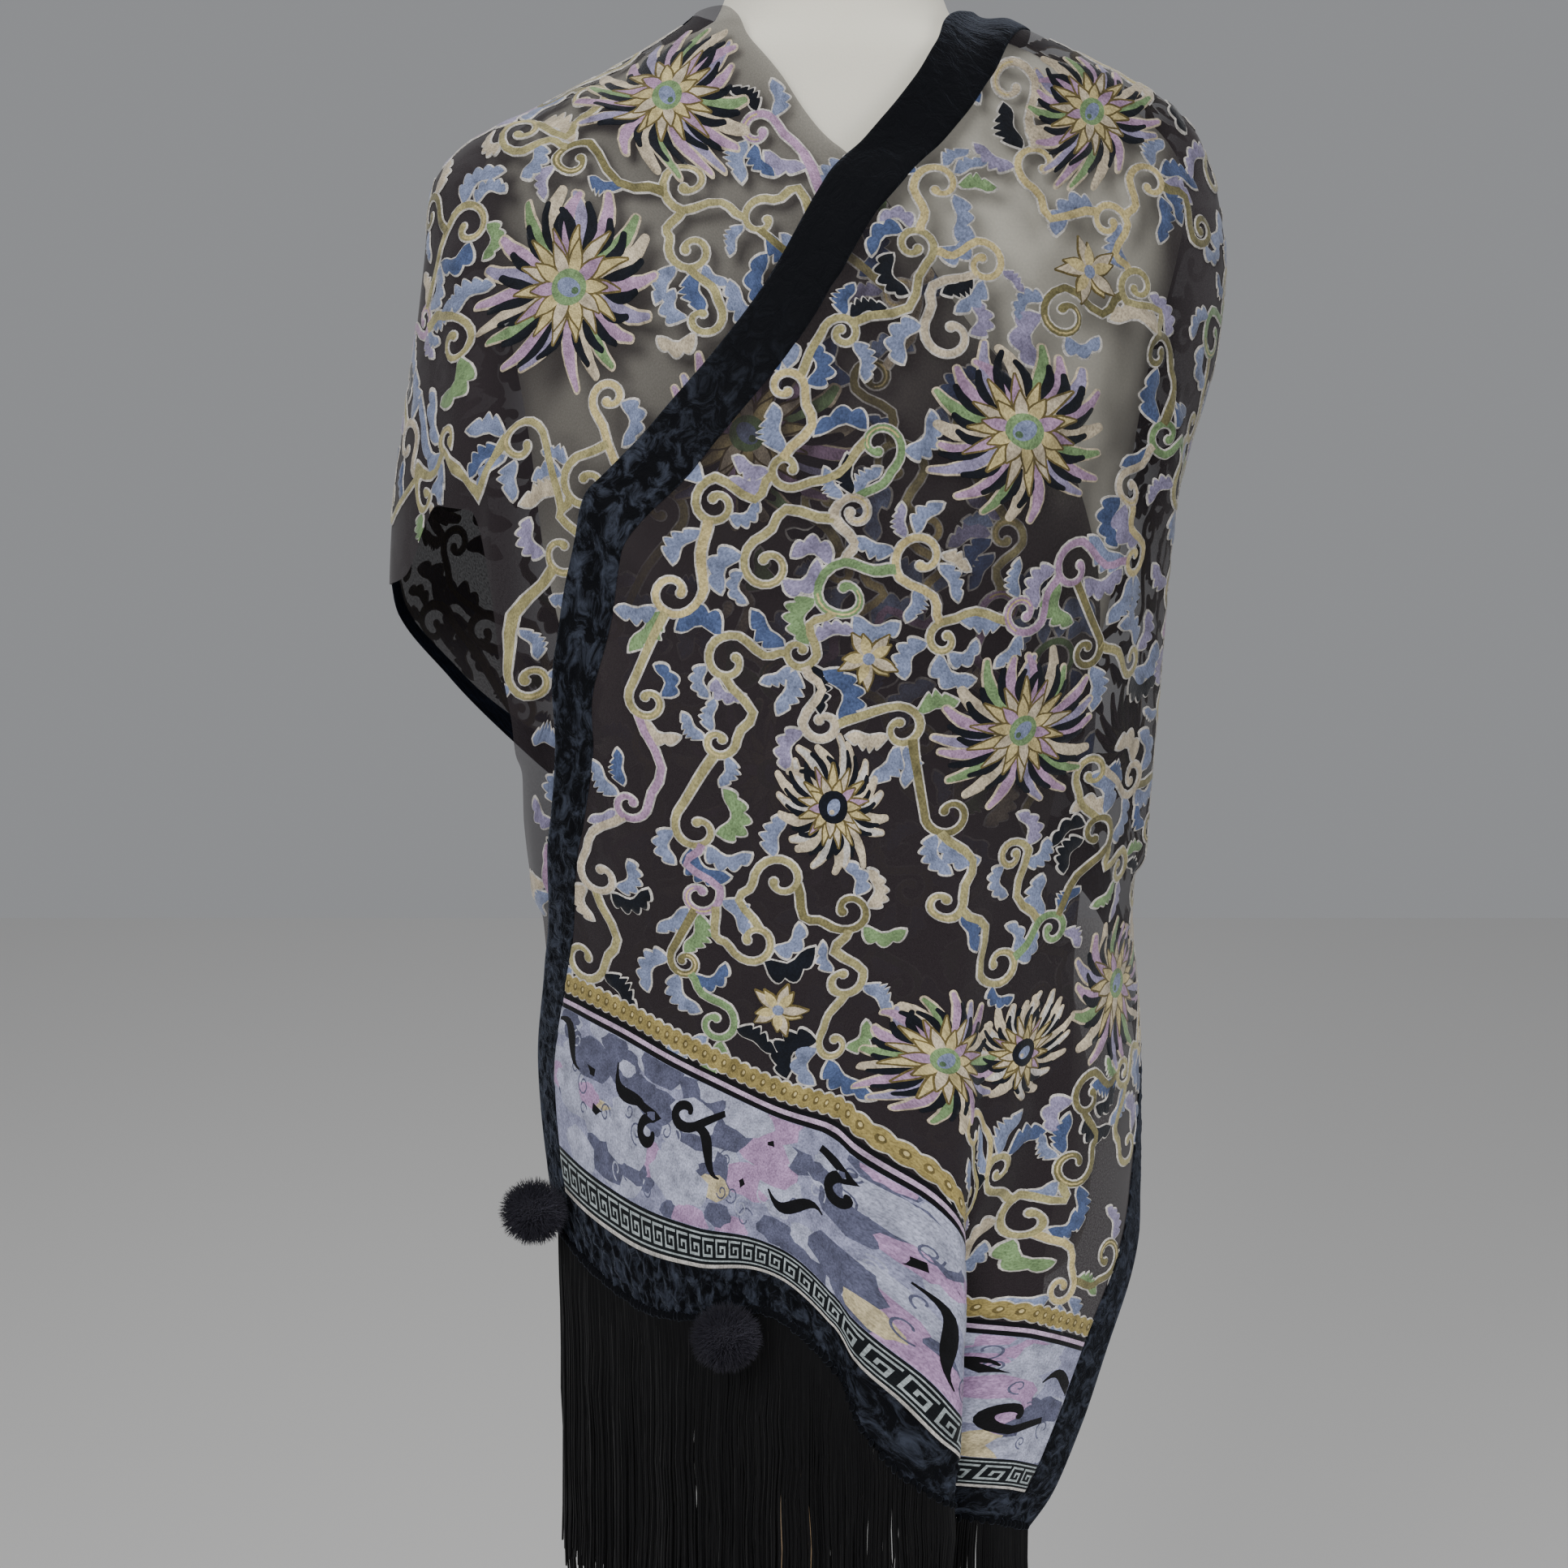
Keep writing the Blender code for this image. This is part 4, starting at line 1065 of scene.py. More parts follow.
class HemBand:
    """The woven-looking end of the over stretch: stripe, pinstripes, cloud band and key."""

    LAP = 2.0
    SCALLOPS = 58
    CLOUDS = 150
    CURLS = 54
    SWIRLS = 19
    KEY_DEPTH = 16.5

    def __init__(self, cloth: Cloth, seed: int) -> None:
        """Draws the band.

        Args:
            cloth: The over stretch.
            seed: The seed of its swirls.
        """
        self.cloth = cloth
        self.chance = random.Random(seed)
        self.patches: List[Patch] = []
        self.low = BORDER_SHARE * CLOTH_WIDTH
        self.high = CLOTH_WIDTH - self.low
        self.top = cloth.millimetres(STRIPE_LINE)
        self.key_low = cloth.millimetres(KEY_LINE)
        self._stripes()
        self._clouds()
        self._key()

    def _add(self, outline: np.ndarray, tint: Tint, order: float) -> None:
        """Keeps a shape."""
        self.patches.append(Patch(outline, tint, order))

    def _row(self, low: float, high: float, tint: Tint, order: float) -> None:
        """Adds a straight row across the cloth between two places along it."""
        xs = np.linspace(self.low - self.LAP, self.high + self.LAP, 120)
        ends = np.stack([xs, np.full(len(xs), low)], axis=1)
        back = np.stack([xs[::-1], np.full(len(xs), high)], axis=1)
        self._add(np.vstack([ends, back]), tint, order)

    def _stripes(self) -> None:
        """Adds the scalloped gold stripe and the pinstripes under it."""
        count = self.SCALLOPS
        xs = np.linspace(self.low, self.high, count * 8 + 1)
        wave = np.abs(np.sin(np.pi * (xs - self.low) / (self.high - self.low) * count))
        xs[[0, -1]] += [-self.LAP, self.LAP]
        upper = np.stack([xs, self.top - 4.6 - 1.7 * wave], axis=1)
        lower = np.stack([xs, self.top + 3.8 + 1.5 * wave], axis=1)[::-1]
        rim_up, rim_low = upper - [0, 0.9], lower + [0, 0.9]
        self._add(np.vstack([rim_up, rim_low]), Tint.EDGE, 10)
        self._add(np.vstack([upper, lower]), Tint.STRIPE, 11)
        pitch = (self.high - self.low) / count
        ring = np.linspace(0, 2 * math.pi, 9)[:-1]
        for i in range(count):
            middle = np.array([self.low + (i + 0.5) * pitch, self.top - 0.5])
            disc = np.stack([np.cos(ring) * pitch * 0.26, np.sin(ring) * 2.5], axis=1)
            self._add(middle + disc, Tint.STRIPE_DARK, 12)
            self._add(middle + disc * 0.5 + [0.2, -0.4], Tint.GOLD, 13)
        at = self.top + 6.6
        for wide, tint in ((2.4, Tint.INK), (2.6, Tint.PINK), (2.8, Tint.INK)):
            self._row(at, at + wide, tint, 10)
            at += wide
        self.cloud_top = at

    def _clouds(self) -> None:
        """Adds the cloud band: mottled clouds and dark swirls."""
        low, high = self.cloud_top, self.key_low - self.KEY_DEPTH
        self._row(low, high, Tint.CLOUD, 10)
        deep = high - low
        chance = self.chance
        tints = (Tint.CLOUD_LIGHT, Tint.CLOUD_GREY, Tint.CLOUD_PINK, Tint.CLOUD_LIGHT,
                 Tint.CLOUD_GOLD, Tint.CLOUD_GREY, Tint.CLOUD_PINK)
        weights = (30, 20, 16, 20, 5, 14, 8)
        for i in range(self.CLOUDS):
            middle = np.array([chance.uniform(self.low, self.high), chance.uniform(low, high)])
            size = chance.uniform(4, 13)
            ring = np.linspace(0, 2 * math.pi, 15)[:-1]
            reach = size * (1 + 0.28 * np.abs(np.sin(ring * 2.5 + chance.uniform(0, 3))))
            shape = np.stack([np.cos(ring) * reach * 1.5, np.sin(ring) * reach * 0.8], axis=1)
            spots = middle + shape
            spots[:, 1] = np.clip(spots[:, 1], low + 0.2, high - 0.2)
            spots[:, 0] = np.clip(spots[:, 0], self.low + 0.2, self.high - 0.2)
            tint = chance.choices(tints, weights)[0]
            self._add(spots, tint, 10.2 + i * 0.001)
        for i in range(self.CURLS):
            middle = np.array([chance.uniform(self.low + 9, self.high - 9),
                               chance.uniform(low + 7, high - 7)])
            line = spiral(chance.uniform(3.5, 6.5), chance.uniform(0.7, 1.4),
                          1 if i % 2 else -1, chance.uniform(-3, 3), 16) + middle
            tint = Tint.CLOUD_GREY if i % 3 else Tint.CLOUD_LIGHT
            self._add(ribbon(line, np.full(16, 0.42)), tint, 11)
        for i in range(self.SWIRLS):
            x = self.low + (i + 0.5 + chance.uniform(-0.2, 0.2)) * (
                self.high - self.low) / self.SWIRLS
            y = low + deep * (0.26 + 0.42 * ((i * 7) % 5) / 4) + chance.uniform(-3, 3)
            hand = 1 if i % 2 else -1
            if i % 3:
                curl = spiral(9.0, 0.8, hand, chance.uniform(-3, 3), 18) * [1.25, 0.9]
                tail = curl[0] + np.outer(np.linspace(1, 0, 7)[:-1], [hand * 19, -9])
                line = np.vstack([tail, curl])
                half = 1.6 + 1.1 * np.sin(np.linspace(0.2, 3.0, len(line)))
            else:
                t = np.linspace(0, 1, 14)
                line = np.stack([t * 34 - 17, 6 * np.sin(t * 5.2) * hand], axis=1)
                half = 0.5 + 2.9 * np.sin(np.pi * t) ** 1.5
            turn = chance.uniform(-0.4, 0.7)
            c, s = math.cos(turn), math.sin(turn)
            line = line @ np.array([[c, s], [-s, c]])
            shape = ribbon(line + [x, y], half)
            shape[:, 1] = np.clip(shape[:, 1], low + 1, high - 1)
            shape[:, 0] = np.clip(shape[:, 0], self.low + 1, self.high - 1)
            self._add(shape, Tint.INK, 12)

    def _box(self, x0: float, x1: float, y0: float, y1: float, tint: Tint, order: float) -> None:
        """Adds an upright box of the key."""
        corners = np.array([[x0, y0], [x1, y0], [x1, y1], [x0, y1]])
        self._add(corners, tint, order)

    def _key(self) -> None:
        """Adds the key band with its lines, made of squared hooks side by side."""
        top, low = self.key_low - self.KEY_DEPTH, self.key_low
        self._row(top, low, Tint.KEY_GROUND, 10)
        self._row(top + 1.5, top + 2.3, Tint.KEY, 11)
        self._row(low - 1.7, low - 0.2, Tint.EDGE, 11)
        self._row(low - 3.6, low - 2.9, Tint.KEY, 11)
        y0, y1 = top + 3.6, low - 4.8
        tall, pen, unit = y1 - y0, 1.15, 10.4
        count = int((self.high - self.low) / unit)
        pitch = (self.high - self.low) / count
        for i in range(count):
            x = self.low + i * pitch + 0.8
            wide = pitch - 1.4
            self._box(x, x + wide, y0, y0 + pen, Tint.KEY, 12)
            self._box(x, x + pen, y0, y1, Tint.KEY, 12)
            self._box(x, x + wide * 0.86, y1 - pen, y1, Tint.KEY, 12)
            self._box(x + wide * 0.86 - pen, x + wide * 0.86, y0 + tall * 0.36, y1, Tint.KEY, 12)
            self._box(x + wide * 0.36, x + wide * 0.86, y0 + tall * 0.36, y0 + tall * 0.36 + pen,
                      Tint.KEY, 12)
            self._box(x + wide * 0.36, x + wide * 0.36 + pen, y0 + tall * 0.36, y0 + tall * 0.72,
                      Tint.KEY, 12)


def new_object(name: str, data: bpy.types.ID) -> bpy.types.Object:
    """Puts a mesh, a light or a camera into the scene as an object at the origin."""
    item = bpy.data.objects.new(name, data)
    bpy.context.scene.collection.objects.link(item)
    return item


def mesh_object(
    name: str, points: np.ndarray, faces: Sequence[Sequence[int]], finish: bpy.types.Material
) -> bpy.types.Object:
    """Makes an object from points and faces.

    Args:
        name: Its name.
        points: Its vertices.
        faces: Its faces.
        finish: Its material.

    Returns:
        The object.
    """
    mesh = bpy.data.meshes.new(name)
    mesh.from_pydata(np.asarray(points).tolist(), [], [list(map(int, f)) for f in faces])
    mesh.materials.append(finish)
    mesh.update()
    item = new_object(name, mesh)
    mesh.shade_smooth()
    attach(item, "root")
    return item


def set_uv(item: bpy.types.Object, uv: np.ndarray) -> None:
    """Gives each vertex's cloth place, in metres, as the UV map."""
    mesh = item.data
    layer = mesh.uv_layers.new(name="UVMap")
    index = np.zeros(len(mesh.loops), dtype=np.int32)
    mesh.loops.foreach_get("vertex_index", index)
    layer.data.foreach_set("uv", np.asarray(uv, np.float32)[index].ravel())


class ClothPiece:
    """Makes the shells of one stretch: sheer ground, pile, borders and facing."""

    PILE = 0.0009
    GRID = 6.5
    TILE = 46.0
    TILE_POINTS = 9
    GROUND_COLUMNS = 120
    ROWS_PER_LINE = 18
    OFF_FORM = (0.150, 0.185)
    OFF_OPACITY = 0.88

    def __init__(self, cloth: Cloth, hand: int) -> None:
        """Keeps the map.

        Args:
            cloth: The stretch.
            hand: 1 where along by across points outwards, -1 where it points inwards.
        """
        self.cloth = cloth
        self.hand = hand

    def lifted(self, u: np.ndarray, v: np.ndarray, lift: np.ndarray) -> np.ndarray:
        """Gives places lifted outwards from the middle of the wall."""
        return self.cloth.place(u, v, np.asarray(lift) * self.hand)

    def ground(
        self, name: str, across: Tuple[float, float], along: Tuple[float, float],
        opacity: Sequence[Tuple[float, float]], finish: bpy.types.Material,
    ) -> bpy.types.Object:
        """Makes the sheer ground.

        Args:
            name: The piece's name.
            across: The shares between which it lies.
            along: The table rows between which it lies.
            opacity: Rows of place along and opacity.
            finish: Its material.

        Returns:
            The piece.
        """
        us = np.linspace(*across, self.GROUND_COLUMNS)
        vs = np.linspace(*along, int((along[1] - along[0]) * self.ROWS_PER_LINE))
        gu, gv = np.meshgrid(us, vs)
        points = self.lifted(gu.ravel(), gv.ravel(), np.zeros(gu.size))
        item = mesh_object(name, points, self._quads(len(vs), len(us)), finish)
        y = np.interp(gv.ravel(), self.cloth.vs, self.cloth.lengths)
        set_uv(item, np.stack([gu.ravel() * CLOTH_WIDTH, y], axis=1) / 1000)
        rows = np.array(opacity)
        layer = item.data.attributes.new("opacity", "FLOAT", "POINT")
        # The denser rows lower down darken the ground as painted shade
        value = np.interp(gv.ravel(), rows[:, 0], rows[:, 1])
        # Beside the form the backdrop lies behind the ground, which is drawn denser there
        off = smooth_step(np.abs(points[:, 0] - FORM_X), *self.OFF_FORM)
        layer.data.foreach_set("value", value + (self.OFF_OPACITY - value) * off)
        return item

    def _quads(self, rows: int, columns: int) -> np.ndarray:
        """Gives the faces of a grid, facing outwards."""
        j, i = np.meshgrid(np.arange(rows - 1), np.arange(columns - 1), indexing="ij")
        a = (j * columns + i).ravel()
        order = [a, a + columns, a + columns + 1, a + 1]
        return np.stack(order if self.hand > 0 else order[::-1], axis=1)

    def shell(
        self, name: str, across: Tuple[float, float], along: Tuple[float, float],
        counts: Tuple[int, int], relief: float, wall: float, seed: int,
        finish: bpy.types.Material, waves: Tuple[float, float] = (6.0, 18.0),
        crush: Tuple[float, float] = (-2.0, -1.0),
    ) -> bpy.types.Object:
        """Makes a closed thin strip with a crushed outer face.

        Args:
            name: The piece's name.
            across: The shares between which it lies.
            along: The table rows between which it lies.
            counts: Its cells across and along.
            relief: How high its crushed ridges stand, in metres.
            wall: Its thickness.
            seed: The seed of the ridges.
            finish: Its material.
            waves: The shortest and longest ridges, in millimetres.
            crush: The table rows where the crushing starts and is full.

        Returns:
            The piece.
        """
        us = np.linspace(*across, counts[0] + 1)
        vs = np.linspace(*along, counts[1] + 1)
        gu, gv = np.meshgrid(us, vs)
        u, v = gu.ravel(), gv.ravel()
        flat = np.stack([u * CLOTH_WIDTH, np.interp(v, self.cloth.vs, self.cloth.lengths)], axis=1)
        s = (u - across[0]) / (across[1] - across[0])
        edge = 1 - np.abs(2 * s - 1) ** 8
        pressed = smooth_step(v, *crush)
        top = wall * 0.5 + wall * 0.5 * edge + relief * edge * pressed * crushed(flat, seed, waves)
        outer = self.lifted(u, v, top)
        inner = self.lifted(u, v, np.full(len(u), -wall * 0.5))
        rows, columns = counts[1] + 1, counts[0] + 1
        faces = list(self._quads(rows, columns))
        size = rows * columns
        faces += [f[::-1] + size for f in self._quads(rows, columns)]
        rim = list(range(columns))
        rim += [j * columns + columns - 1 for j in range(1, rows)]
        rim += [size - 1 - i for i in range(1, columns)]
        rim += [(rows - 1 - j) * columns for j in range(1, rows)]
        for a, b in zip(rim, rim[1:] + rim[:1]):
            face = [a, b, b + size, a + size]
            faces.append(face if self.hand > 0 else [b, a, a + size, b + size])
        item = mesh_object(name, np.vstack([outer, inner]), faces, finish)
        set_uv(item, np.vstack([flat, flat]) / 1000)
        layer = item.data.attributes.new("crush", "FLOAT", "POINT")
        layer.data.foreach_set("value", np.tile(pressed, 2).astype(np.float32))
        return item

    def pile(
        self, name: str, patches: Sequence[Patch], domain: Tuple[float, float, float, float],
        shade: Sequence[Tuple[float, float]], finish: bpy.types.Material, seed: int,
    ) -> bpy.types.Object:
        """Makes the standing pile of a pattern as one welded mesh.

        Args:
            name: The piece's name.
            patches: The shapes of the pattern.
            domain: The cloth millimetres within which it lies: across and along.
            shade: Rows of place along and brightness, the painted shade.
            finish: Its material.
            seed: The seed of the inner points.

        Returns:
            The piece.
        """
        chance = np.random.default_rng(seed)
        patches = [Patch(wound(patch.outline), patch.tint, patch.order) for patch in patches]
        lows = np.array([patch.outline.min(axis=0) for patch in patches])
        highs = np.array([patch.outline.max(axis=0) for patch in patches])
        xs = np.linspace(domain[0], domain[1], max(2, round((domain[1] - domain[0]) / self.TILE)))
        ys = np.linspace(domain[2], domain[3], max(2, round((domain[3] - domain[2]) / self.TILE)))
        flats, corners, tints, count = [], [], [], 0
        for x0, x1 in zip(xs, xs[1:]):
            for y0, y1 in zip(ys, ys[1:]):
                near = (lows < [x1, y1]).all(axis=1) & (highs > [x0, y0]).all(axis=1)
                found = self._tile(patches, np.flatnonzero(near), (x0, x1, y0, y1), chance)
                flats.append(found[0])
                corners.append(found[1] + count)
                tints += found[2]
                count += len(found[0])
        flat, back = np.unique(np.round(np.vstack(flats), 3), axis=0, return_inverse=True)
        kept = back.ravel()[np.vstack(corners)]
        sound = (kept[:, 0] != kept[:, 1]) & (kept[:, 1] != kept[:, 2]) & (kept[:, 2] != kept[:, 0])
        kept, tints = kept[sound], np.array(tints)[sound]
        used = np.unique(kept)
        renamed = np.full(len(flat), -1)
        renamed[used] = np.arange(len(used))
        flat, kept = flat[used], renamed[kept]
        edges = np.sort(np.vstack([kept[:, [0, 1]], kept[:, [1, 2]], kept[:, [2, 0]]]), axis=1)
        pairs, counts = np.unique(edges, axis=0, return_counts=True)
        lift = np.full(len(flat), self.PILE)
        lift[np.unique(pairs[counts == 1])] = self.PILE * 0.35
        u, v = self.cloth.shares(flat)
        points = self.lifted(u, v, lift)
        faces_out = kept[:, ::-1] if self.hand > 0 else kept
        item = mesh_object(name, points, faces_out, finish)
        set_uv(item, flat / 1000)
        colours = np.array([linear(patch.tint.value) for patch in patches])[tints]
        middle = v[kept].mean(axis=1)
        rows = np.array(shade)
        # Painted shade: the pile's colours are darkened along the cloth by the shade rows
        colours = colours * np.interp(middle, rows[:, 0], rows[:, 1])[:, None]
        layer = item.data.attributes.new("tint", "FLOAT_COLOR", "CORNER")
        rgba = np.repeat(np.hstack([colours, np.ones((len(colours), 1))]), 3, axis=0)
        layer.data.foreach_set("color", rgba.astype(np.float32).ravel())
        LOG.info("%s: %d triangles of pile", name, len(kept))
        return item

    def _tile(
        self, patches: Sequence[Patch], near: np.ndarray,
        rect: Tuple[float, float, float, float], chance: np.random.Generator,
    ) -> Tuple[np.ndarray, np.ndarray, List[int]]:
        """Cuts one tile of cloth along the outlines of its shapes.

        Args:
            patches: All shapes of the pattern.
            near: Which of them reach the tile.
            rect: The tile's sides across and along.
            chance: The source of its inner points.

        Returns:
            Its points, its pile triangles, and the top shape of each triangle.
        """
        x0, x1, y0, y1 = rect
        xs, ys = np.linspace(x0, x1, self.TILE_POINTS), np.linspace(y0, y1, self.TILE_POINTS)
        border = [(x, y0) for x in xs] + [(x1, y) for y in ys[1:]]
        border += [(x, y1) for x in xs[::-1][1:]] + [(x0, y) for y in ys[::-1][1:-1]]
        spots = list(border)
        faces = [list(range(len(border)))]
        for i in near:
            start = len(spots)
            spots += [tuple(p) for p in patches[i].outline]
            faces.append(list(range(start, len(spots))))
        gx, gy = np.meshgrid(np.arange(x0 + 2, x1, self.GRID), np.arange(y0 + 2, y1, self.GRID))
        inner = np.stack([gx.ravel(), gy.ravel()], axis=1) + chance.uniform(-1, 1, (gx.size, 2))
        inside = ((inner > [x0 + 0.5, y0 + 0.5]) & (inner < [x1 - 0.5, y1 - 0.5])).all(axis=1)
        spots += [tuple(p) for p in inner[inside]]
        verts, _, triangles, _, _, sources = delaunay_2d_cdt(
            [Vector(p) for p in spots], [], faces, 0, 1e-5, True
        )
        kept, tops = [], []
        for triangle, source in zip(triangles, sources):
            if 0 not in source or len(source) < 2:
                continue
            best = max((near[i - 1] for i in source if i), key=lambda i: patches[i].order)
            kept.append(triangle)
            tops.append(int(best))
        flat = np.array([tuple(p) for p in verts])
        return flat, np.array(kept, int).reshape(-1, 3), tops


def crushed(flat: np.ndarray, seed: int, waves: Tuple[float, float]) -> np.ndarray:
    """Gives the uneven ridges of crushed velvet.

    Args:
        flat: Places in cloth millimetres.
        seed: The seed of the ridges.
        waves: The shortest and longest ridges.

    Returns:
        Heights from -1 to 1.
    """
    chance = np.random.default_rng(seed)
    total = np.zeros(len(flat))
    weight = 0.0
    for _ in range(14):
        length = chance.uniform(*waves)
        way, bend = chance.uniform(0, 2 * math.pi, 2)
        along = flat @ np.array([math.cos(way), math.sin(way)])
        aside = flat @ np.array([math.cos(bend), math.sin(bend)])
        phase = along * 2 * math.pi / length + 1.4 * np.sin(aside * 2 * math.pi / (length * 2.3))
        total += length * (1 - 2 * np.abs(np.sin(phase + chance.uniform(0, 6))))
        weight += length
    return np.clip(total / weight * 2.2, -1, 1)


def add_node(
    tree: bpy.types.NodeTree, kind: str, inputs: Optional[Dict] = None, **settings: object
) -> bpy.types.Node:
    """Adds a node with its settings, its values and its links.

    Args:
        tree: The node tree.
        kind: The node's type name.
        inputs: A value or an output socket for each named or numbered input.
        **settings: Its own properties.

    Returns:
        The node.
    """
    node = tree.nodes.new(kind)
    for key, value in settings.items():
        setattr(node, key, value)
    for key, value in (inputs or {}).items():
        if isinstance(value, bpy.types.NodeSocket):
            tree.links.new(value, node.inputs[key])
        else:
            node.inputs[key].default_value = value
    return node


@dataclass(frozen=True)
class Finish:
    """A surface finish on one Principled shader."""

    name: str
    colour: str
    roughness: float
    sheen: float = 0.0
    sheen_roughness: float = 0.5
    sheen_tint: str = "ffffff"
    specular: float = 0.5
    coat: float = 0.0

    def start(self) -> Tuple[bpy.types.Material, bpy.types.NodeTree, bpy.types.Node]:
        """Makes the material with its plain values.

        Returns:
            The material, its tree and its shader.
        """
        made = bpy.data.materials.new(self.name)
        made.use_nodes = True
        tree = made.node_tree
        shader = tree.nodes["Principled BSDF"]
        values = {
            "Base Color": (*linear(self.colour), 1), "Roughness": self.roughness,
            "Sheen Weight": self.sheen, "Sheen Roughness": self.sheen_roughness,
            "Sheen Tint": (*linear(self.sheen_tint), 1),
            "Specular IOR Level": self.specular, "Coat Weight": self.coat,
        }
        for name, value in values.items():
            shader.inputs[name].default_value = value
        return made, tree, shader

    def make(self) -> bpy.types.Material:
        """Makes the plain finish."""
        return self.start()[0]


@dataclass(frozen=True)
class PileVelvet(Finish):
    """Silk-rayon pile left by the burnout: dyed, matt, with patches where the nap lies over, drawn
    lighter and darker in the colour as painted sheen and painted shade.
    """

    def make(self) -> bpy.types.Material:
        """Makes the pile's material."""
        made, tree, shader = self.start()
        tint = add_node(tree, "ShaderNodeAttribute", attribute_name="tint")
        uv = add_node(tree, "ShaderNodeUVMap", uv_map="UVMap")
        # Nap lies this way and that in patches of about 9 mm; the light and dark they bring to the
        # colour are painted sheen and painted shade
        nap = add_node(tree, "ShaderNodeTexNoise", {
            "Vector": uv.outputs[0], "Scale": 110.0, "Detail": 3.0, "Roughness": 0.65})
        # Tufts of about 1 mm, drawn a little coarser than the real ones to show
        tuft = add_node(tree, "ShaderNodeTexNoise", {
            "Vector": uv.outputs[0], "Scale": 900.0, "Detail": 2.0, "Roughness": 0.7})
        both = add_node(tree, "ShaderNodeMath", {0: nap.outputs[0], 1: tuft.outputs[0]},
                        operation="MULTIPLY")
        # The patches scale the dyed colour from 0.40 to 1.28: painted sheen and painted shade of
        # the nap
        span = add_node(tree, "ShaderNodeMapRange", {
            "Value": both.outputs[0], "From Min": 0.12, "From Max": 0.40,
            "To Min": 0.40, "To Max": 1.28})
        shaded = add_node(tree, "ShaderNodeVectorMath", {
            0: tint.outputs["Color"], "Scale": span.outputs[0]}, operation="SCALE")
        tree.links.new(shaded.outputs[0], shader.inputs["Base Color"])
        bump = add_node(tree, "ShaderNodeBump", {
            "Height": tuft.outputs[0], "Strength": 0.5, "Distance": 0.0006})
        tree.links.new(bump.outputs[0], shader.inputs["Normal"])
        return made


@dataclass(frozen=True)
class SheerChiffon(Finish):
    """Sheer chiffon ground: a fine uneven weave that lets light through."""

    def make(self) -> bpy.types.Material:
        """Makes the ground's material."""
        made, tree, shader = self.start()
        opacity = add_node(tree, "ShaderNodeAttribute", attribute_name="opacity")
        uv = add_node(tree, "ShaderNodeUVMap", uv_map="UVMap")
        # Specks of about 1 mm stand for the weave, coarser than real threads so that they show
        weave = add_node(tree, "ShaderNodeTexNoise", {
            "Vector": uv.outputs[0], "Scale": 900.0, "Detail": 1.0, "Roughness": 0.5})
        span = add_node(tree, "ShaderNodeMapRange", {
            "Value": weave.outputs[0], "From Min": 0.3, "From Max": 0.7,
            "To Min": 0.92, "To Max": 1.06})
        alpha = add_node(tree, "ShaderNodeMath", {
            0: opacity.outputs["Fac"], 1: span.outputs[0]}, operation="MULTIPLY", use_clamp=True)
        tree.links.new(alpha.outputs[0], shader.inputs["Alpha"])
        return made


@dataclass(frozen=True)
class CrushedVelvet(Finish):
    """Black velvet, smooth or crushed: near-black pile with a painted blue-grey highlight in
    patches on its ridges.
    """

    # The colour of the painted highlight on the crushed patches
    light: str = "3a4152"
    grain: float = 130.0
    amount: float = 1.0

    def make(self) -> bpy.types.Material:
        """Makes the velvet's material."""
        made, tree, shader = self.start()
        uv = add_node(tree, "ShaderNodeUVMap", uv_map="UVMap")
        # Crushed patches of about 8 mm where the nap is pressed over; they are mixed toward the
        # light colour as a painted highlight
        patch = add_node(tree, "ShaderNodeTexNoise", {
            "Vector": uv.outputs[0], "Scale": self.grain, "Detail": 5.0, "Roughness": 0.7,
            "Distortion": 0.8})
        crush = add_node(tree, "ShaderNodeAttribute", attribute_name="crush")
        strong = add_node(tree, "ShaderNodeMath", {
            0: crush.outputs["Fac"], 1: self.amount}, operation="MULTIPLY")
        ramp = add_node(tree, "ShaderNodeMapRange", {
            "Value": patch.outputs[0], "From Min": 0.47, "From Max": 0.66,
            "To Min": 0.0, "To Max": strong.outputs[0]})
        mix = add_node(tree, "ShaderNodeMix", {
            0: ramp.outputs[0], 6: (*linear(self.colour), 1), 7: (*linear(self.light), 1)},
            data_type="RGBA")
        tree.links.new(mix.outputs[2], shader.inputs["Base Color"])
        bump = add_node(tree, "ShaderNodeBump", {
            "Height": patch.outputs[0], "Strength": 0.8, "Distance": 0.003})
        tree.links.new(bump.outputs[0], shader.inputs["Normal"])
        return made


@dataclass(frozen=True)
class Jersey(Finish):
    """Cream cotton jersey stretched tight over padding: matt, with a fine knit."""

    def make(self) -> bpy.types.Material:
        """Makes the jersey's material."""
        made, tree, shader = self.start()
        place = add_node(tree, "ShaderNodeTexCoord")
        # Knit of about 1 mm
        knit = add_node(tree, "ShaderNodeTexNoise", {
            "Vector": place.outputs["Object"], "Scale": 900.0, "Detail": 2.0})
        bump = add_node(tree, "ShaderNodeBump", {
            "Height": knit.outputs[0], "Strength": 0.25, "Distance": 0.0005})
        tree.links.new(bump.outputs[0], shader.inputs["Normal"])
        return made


@dataclass(frozen=True)
class Maple(Finish):
    """Varnished maple: pale wood with long soft grain along the pole."""

    dark: str = "a07a4e"

    def make(self) -> bpy.types.Material:
        """Makes the wood's material."""
        made, tree, shader = self.start()
        place = add_node(tree, "ShaderNodeTexCoord")
        stretch = add_node(tree, "ShaderNodeMapping", {
            "Vector": place.outputs["Object"], "Scale": (1.0, 1.0, 0.06)})
        # Grain lines about 3 mm apart
        grain = add_node(tree, "ShaderNodeTexNoise", {
            "Vector": stretch.outputs[0], "Scale": 320.0, "Detail": 4.0, "Distortion": 0.6})
        mix = add_node(tree, "ShaderNodeMix", {
            0: grain.outputs[0], 6: (*linear(self.colour), 1), 7: (*linear(self.dark), 1)},
            data_type="RGBA")
        tree.links.new(mix.outputs[2], shader.inputs["Base Color"])
        return made


